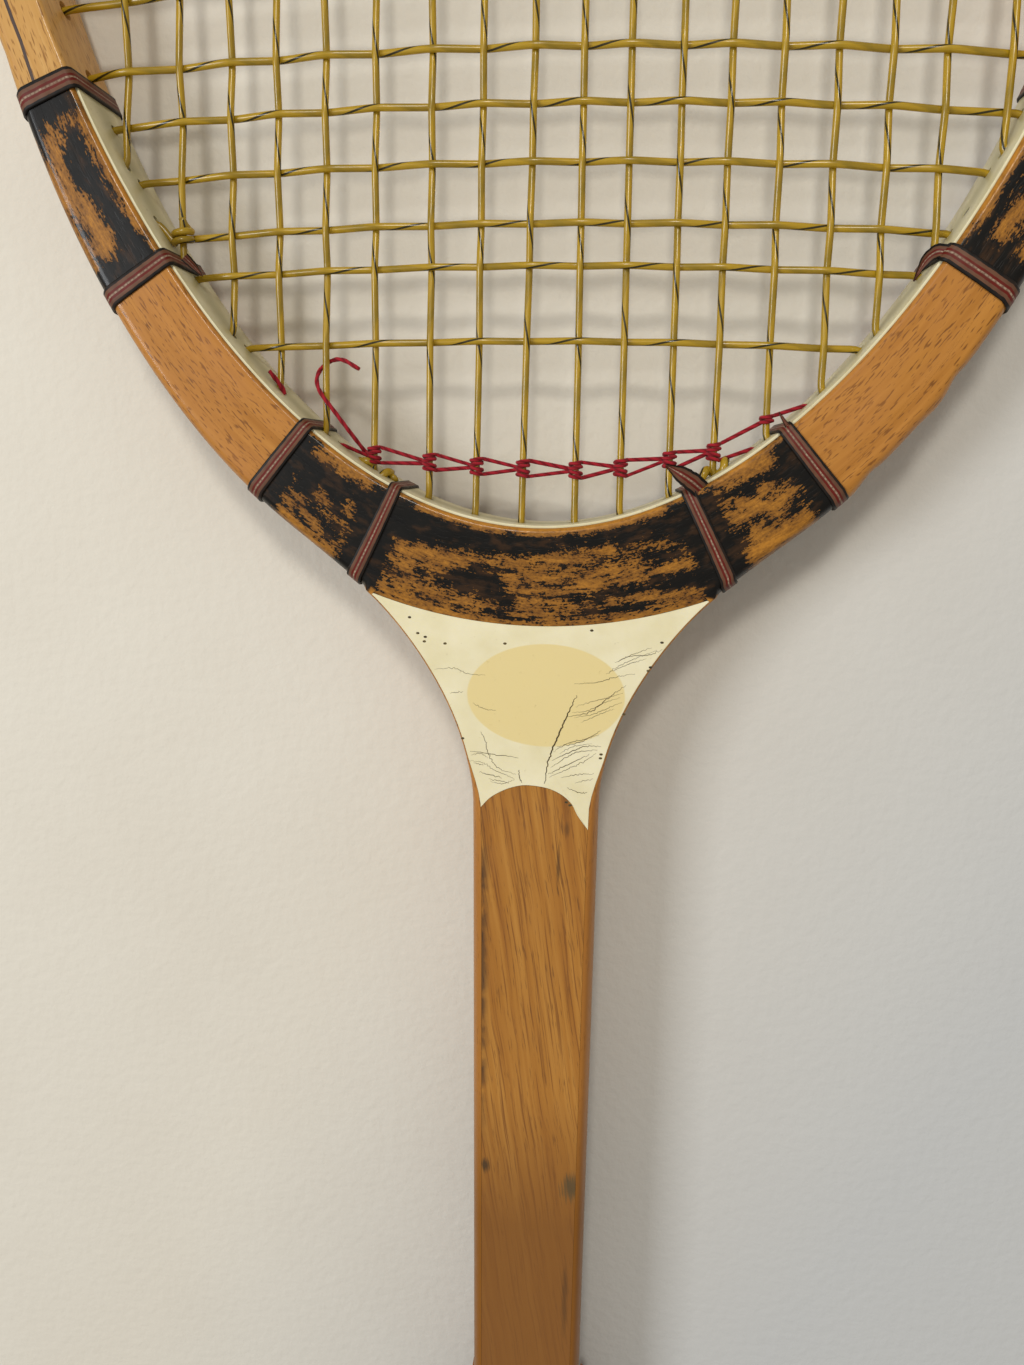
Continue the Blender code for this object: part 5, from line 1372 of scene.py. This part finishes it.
def wound(run, start_y, pitch, radius, turn_count, points_a_turn=16):
    """Points of a helix round a string's straight stretch, from its left side over its front."""
    made = []
    for k in range(round(turn_count * points_a_turn) + 1):
        phase = pi - 2 * pi * k / points_a_turn
        y = start_y + pitch * k / points_a_turn
        for low, high in zip(run, run[1:]):
            if low.y <= y <= high.y:
                centre = low.lerp(high, (y - low.y) / (high.y - low.y))
        made.append(centre + radius * Vector((cos(phase), 0, sin(phase))))
    return made


woven = {}
for i, x in enumerate(mains):
    for j, place in enumerate(crosses):
        y = cross_y(place, x)
        point = Vector((main_x(i, y), y))
        gap = wall_gap(point.x, y)
        if gap >= NO_CROSSING:
            woven[i, j] = (point, WEAVE if gap < NEAR_WALL or (i + j) % 2 == 0 else -WEAVE)
main_runs = []
for i in range(MAIN_COUNT):
    foot, tip = (through_hoop(angle)[0] for angle in main_angles(i))
    main_runs.append([foot] + [at(*woven[i, j]) for j in range(CROSS_COUNT) if (i, j) in woven] + [tip])

# The left end is tied round the second main.
coil = wound(main_runs[1], main_runs[1][0].y + TIE_START, TIE_PITCH, TIE_RADIUS, TIE_TURNS)
loose = [coil[-1] + Vector(step) * MM for step in ((-0.8, 1.0, 0.8), (-1.2, 2.3, 1.3))]
main_route = list(reversed(coil + loose)) + through_hoop(-MAIN_TIE_ANGLE)
main_route += groove_run(-MAIN_TIE_ANGLE, main_angles(0)[0])
for i in range(MAIN_COUNT):
    low, high = main_angles(i)
    upwards, hidden = i % 2 == 0, turns_inside(i)
    run = main_runs[i] if upwards else list(reversed(main_runs[i]))
    start, end = (low, high) if upwards else (high, low)
    if upwards and hidden:
        main_route += run[1:]
    elif hidden:
        main_route += [through_hoop(start)[1]] + run[:-1] + tunnel(low, main_angles(i + 1)[0])
        continue
    else:
        main_route += [through_hoop(start)[1]] + run
    main_route.append(through_hoop(end)[1])
    if i + 1 < MAIN_COUNT:
        after = main_angles(i + 1)[1 if upwards else 0]
        if end * after < 0:
            after += 2 * pi * copysign(1, end)
        main_route += groove_run(end, after)
main_route += groove_run(main_angles(MAIN_COUNT - 1)[0], MAIN_TIE_ANGLE)
main_route += reversed(through_hoop(MAIN_TIE_ANGLE))

amber_nylon, add = new_material("amber nylon string over a dark spiral filament")
wound_map = add("UVMap", uv_map="wound")
along, round_it, _ = add("SeparateXYZ", wound_map).node.outputs
turned = add("Math", along, 1 / FILAMENT_PITCH, operation="MULTIPLY")


def filament(spin, offset, half_width):
    """1 on a line that winds round the string once each pitch, and 0 elsewhere, with soft edges."""
    spun = add("Math", round_it, spin, offset, operation="MULTIPLY_ADD")
    swing = add("Math", add("Math", turned, spun), 0.5, operation="PINGPONG")
    return add("MapRange", swing, half_width * 0.6, half_width, 1, 0)


cloud = add("TexNoise", wound_map, 1 / (9 * MM), 3)
body = add("ValToRGB", cloud, stops=((0.3, "#AE8C16"), (0.5, "#C8A222"), (0.75, "#DAB846")))
smudge = add("Math", filament(-1.0, 0.5, 0.24), 0.38, operation="MULTIPLY")
marked = add("Mix", filament(1.0, 0.0, 0.06), add("Mix", smudge, body, "#6A5C1C"), "#2E2A10")
clear = {"IOR": 1.53, "Specular_IOR_Level": 0.4, "Transmission_Weight": 0.35}
add("OutputMaterial", add("BsdfPrincipled", marked, 0.24, **clear))
main_string = tube("main_string_look", rounded(main_route, STRING_BEND), STRING_DIAMETER / 2, 12)
dress(main_string, "main_string", amber_nylon)


# Cross string: a second length of the same nylon, woven from side to side from the throat to the tip.
# Its first end comes back in through the hoop above the throat, and its last one near the tip, and each
# ends in a short curl.

CURL_RADIUS = 1.15 * MM


def curl(angle, side):
    """The short curled end of a string that comes in through a hole, lying on the inner wall."""
    points = [at(head_point(angle, -0.6 * BEND_HEIGHT), -HOLE_ROW)]
    for k in range(5):
        bent = radians(-60 + 55 * k)
        along = CURL_RADIUS * (1 - cos(radians(45) * k))
        above = BEND_HEIGHT + 0.5 * CURL_RADIUS * sin(radians(40) * k)
        height = -HOLE_ROW + CURL_RADIUS * (0.4 + sin(bent) + sin(radians(60)))
        points.append(at(head_point(angle + side * along / (HEAD_INNER_LENGTH / 2), -above), height))
    return points


cross_route = list(reversed(curl(-CROSS_TIE_ANGLE, 1))) + [through_hoop(-CROSS_TIE_ANGLE, -HOLE_ROW)[1]]
cross_route += groove_run(-CROSS_TIE_ANGLE, -cross_angle(crosses[0]), -HOLE_ROW)
for j, place in enumerate(crosses):
    side = -1 if j % 2 == 0 else 1
    angle = cross_angle(place)
    cross_route += reversed(through_hoop(side * angle, -HOLE_ROW))
    for i in range(MAIN_COUNT) if side < 0 else reversed(range(MAIN_COUNT)):
        if (i, j) in woven:
            cross_route.append(at(woven[i, j][0], -woven[i, j][1]))
    cross_route += through_hoop(-side * angle, -HOLE_ROW)
    if j + 1 < CROSS_COUNT:
        cross_route += groove_run(-side * angle, -side * cross_angle(crosses[j + 1]), -HOLE_ROW)
end = -side * (angle + TIP_TIE_SHIFT)
cross_route += groove_run(-side * angle, end, -HOLE_ROW) + [through_hoop(end, -HOLE_ROW)[1]]
cross_route += curl(end, -side)
cross_string = tube("cross_string_look", rounded(cross_route, STRING_BEND), STRING_DIAMETER / 2, 12)
dress(cross_string, "cross_string", amber_nylon)


# Knots: two short coils where cut ends of the string are knotted against the inner wall, beside the lashing.

for name, places in (
    ("string_knot_left", "-36.2 79 0.5  -34.6 77.6 1.6  -32.6 76.2 1.8  -30.2 75.6 1.2"),
    ("string_knot_right", "35.4 79.4 0.5  33.6 77.9 1.6  31.6 76.6 1.8  29.6 76.2 1.2"),
):
    axis = smooth(spots(places), 12)
    coil = []
    for k, point in enumerate(axis):
        share = k / (len(axis) - 1)
        ahead = direction(axis, k)
        side = ahead.cross(Vector((0, 0, 1))).normalized()
        phase = 2 * pi * 1.6 * share
        reach = (1.45 - 0.6 * share) * MM * sin(pi * min(1, 0.15 + 1.2 * share) / 2)
        coil.append(point + reach * (cos(phase) * side + sin(phase) * side.cross(ahead)))
    dress(tube(name, coil, 0.62 * STRING_DIAMETER, 12), None, amber_nylon)


# Lashing: a red two-ply cotton cord, doubled and wound round each main string above the throat to keep
# them spread. At each main the upper strand winds up and the lower one winds down.

CORD_DIAMETER = 0.9 * MM
STRAND_DIAMETER = 0.84 * MM
CORD_HOLE_DEPTH = 2.6 * MM
FIRST_LASHED_MAIN = 5
WRAP_RADIUS = (STRING_DIAMETER + STRAND_DIAMETER) / 2
WRAP_PITCH = 0.85 * MM
WRAP_TURNS = 1.5
STRAND_SHIFT = 0.25 * MM
WRAP_Y = tuple(y * MM for y in (79.9, 78.6, 77.9, 77.6, 77.4, 77.9, 79.5, 81.1))
LAST_WRAP_Y = 86.6 * MM
TAIL_HUB_Y = 80.45 * MM
TAIL_PITCH = 1.35 * MM
TAIL_RADIUS = 1.425 * MM
PLY_LAY = 2.3 * MM

red_cotton, add = new_material("red cotton cord, two-ply, fuzzy matt")
wound_map = add("UVMap", uv_map="wound")
along, round_it, _ = add("SeparateXYZ", wound_map).node.outputs
along = add("Math", along, 1 / PLY_LAY, operation="MULTIPLY")
# Painted shade: the ramp turns the cord dark red in the valleys between its two plies, over the fibres' own
# light and dark.
phase = add("Math", along, add("Math", round_it, -2.0, 0.5, operation="MULTIPLY_ADD"))
valley = add("Math", phase, 0.5, operation="PINGPONG")
fibres = add("TexNoise", wound_map, 1 / (0.35 * MM), 3)
fibres_and_crease_shade = add("Math", fibres, 0.35, valley, operation="MULTIPLY_ADD")
red_with_crease_shade = add("ValToRGB", fibres_and_crease_shade, stops=((0.12, "#4A0A12"), (0.34, "#8C1622"), (0.62, "#A51E2C")))
relief = add("Bump", fibres, 0.6, 0.1 * MM)
add("OutputMaterial", add("BsdfPrincipled", red_with_crease_shade, 0.85, relief, Specular_IOR_Level=0.2, Sheen_Weight=0.08))


def cord(name, path, diameter, replaced=None, flare=0.0):
    """A piece of the cord along a path, growing by the flare to its end."""
    radii = [diameter / 2 * (1 + flare * k / len(path)) for k in range(len(path))]
    made = tube(name, path, radii, 14, 0.24, PLY_LAY)
    dress(made, replaced, red_cotton)
    return made


def cord_end(angle):
    return [at(head_point(angle, -BEND_HEIGHT), 0.0), at(head_point(angle, CORD_HOLE_DEPTH), 0.0)]


def wrap(number, y, pitch):
    return wound(main_runs[FIRST_LASHED_MAIN + number], y, pitch, WRAP_RADIUS, WRAP_TURNS)


hub = main_runs[FIRST_LASHED_MAIN]
tail_first, tail_second = wound(hub, TAIL_HUB_Y, TAIL_PITCH, TAIL_RADIUS, 1 / 8, 8)
outwards = (tail_first - tail_second).normalized()
upper_route = [tail_first + outwards * STRAND_SHIFT]
lower_route = list(reversed(cord_end(CORD_HOLE_ANGLES[0])))
for k, y in enumerate(WRAP_Y):
    upper_route += wrap(k, y + STRAND_SHIFT, WRAP_PITCH)
    lower_route += wrap(k, y - STRAND_SHIFT, -WRAP_PITCH)
upper_route += wrap(len(WRAP_Y), LAST_WRAP_Y, WRAP_PITCH) + cord_end(CORD_HOLE_ANGLES[2])
lower_route += cord_end(CORD_HOLE_ANGLES[1])
for name, route in (("lashing_cord_upper", upper_route), ("lashing_cord_lower", lower_route)):
    cord(name + "_look", rounded(route, 0.5 * MM, 2), STRAND_DIAMETER, name)


# Loose end of the lashing: the cord's limp tail, which stands up from the first wrap and curls over.

CORD_TAIL = ((-4.5, 4.1, 2.4), (-7.3, 7.8, 2.6), (-9.9, 11.1, 2.2), (-10.9, 13.5, 1.2))
CORD_TAIL += ((-10.5, 15.7, -0.2), (-8.6, 17.3, -0.7), (-5.9, 17.5, 0.3), (-2.4, 15.7, 1.5))
start = tail_first + outwards * GAP
places = [at((mains[FIRST_LASHED_MAIN] + x * MM, tail_first.y + y * MM), z * MM) for x, y, z in CORD_TAIL]
tail_route = smooth([start, start + outwards * CORD_DIAMETER] + places, 5)
tail_length = sum((b - a).length for a, b in zip(tail_route, tail_route[1:]))
tail = cord("lashing_cord_tail_look", tail_route, CORD_DIAMETER, "lashing_cord_tail")
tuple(tail_route[0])

# Cut end: a short piece of the same cord that sticks out of the hoop's inner wall further up on the left.
stub = spots("-53.6 95.6 2.6  -52.6 94.4 2.6  -51.4 92.6 2.2  -50.9 91.2 2")
cord("cord_end_left", smooth(stub, 5), CORD_DIAMETER, flare=0.25)
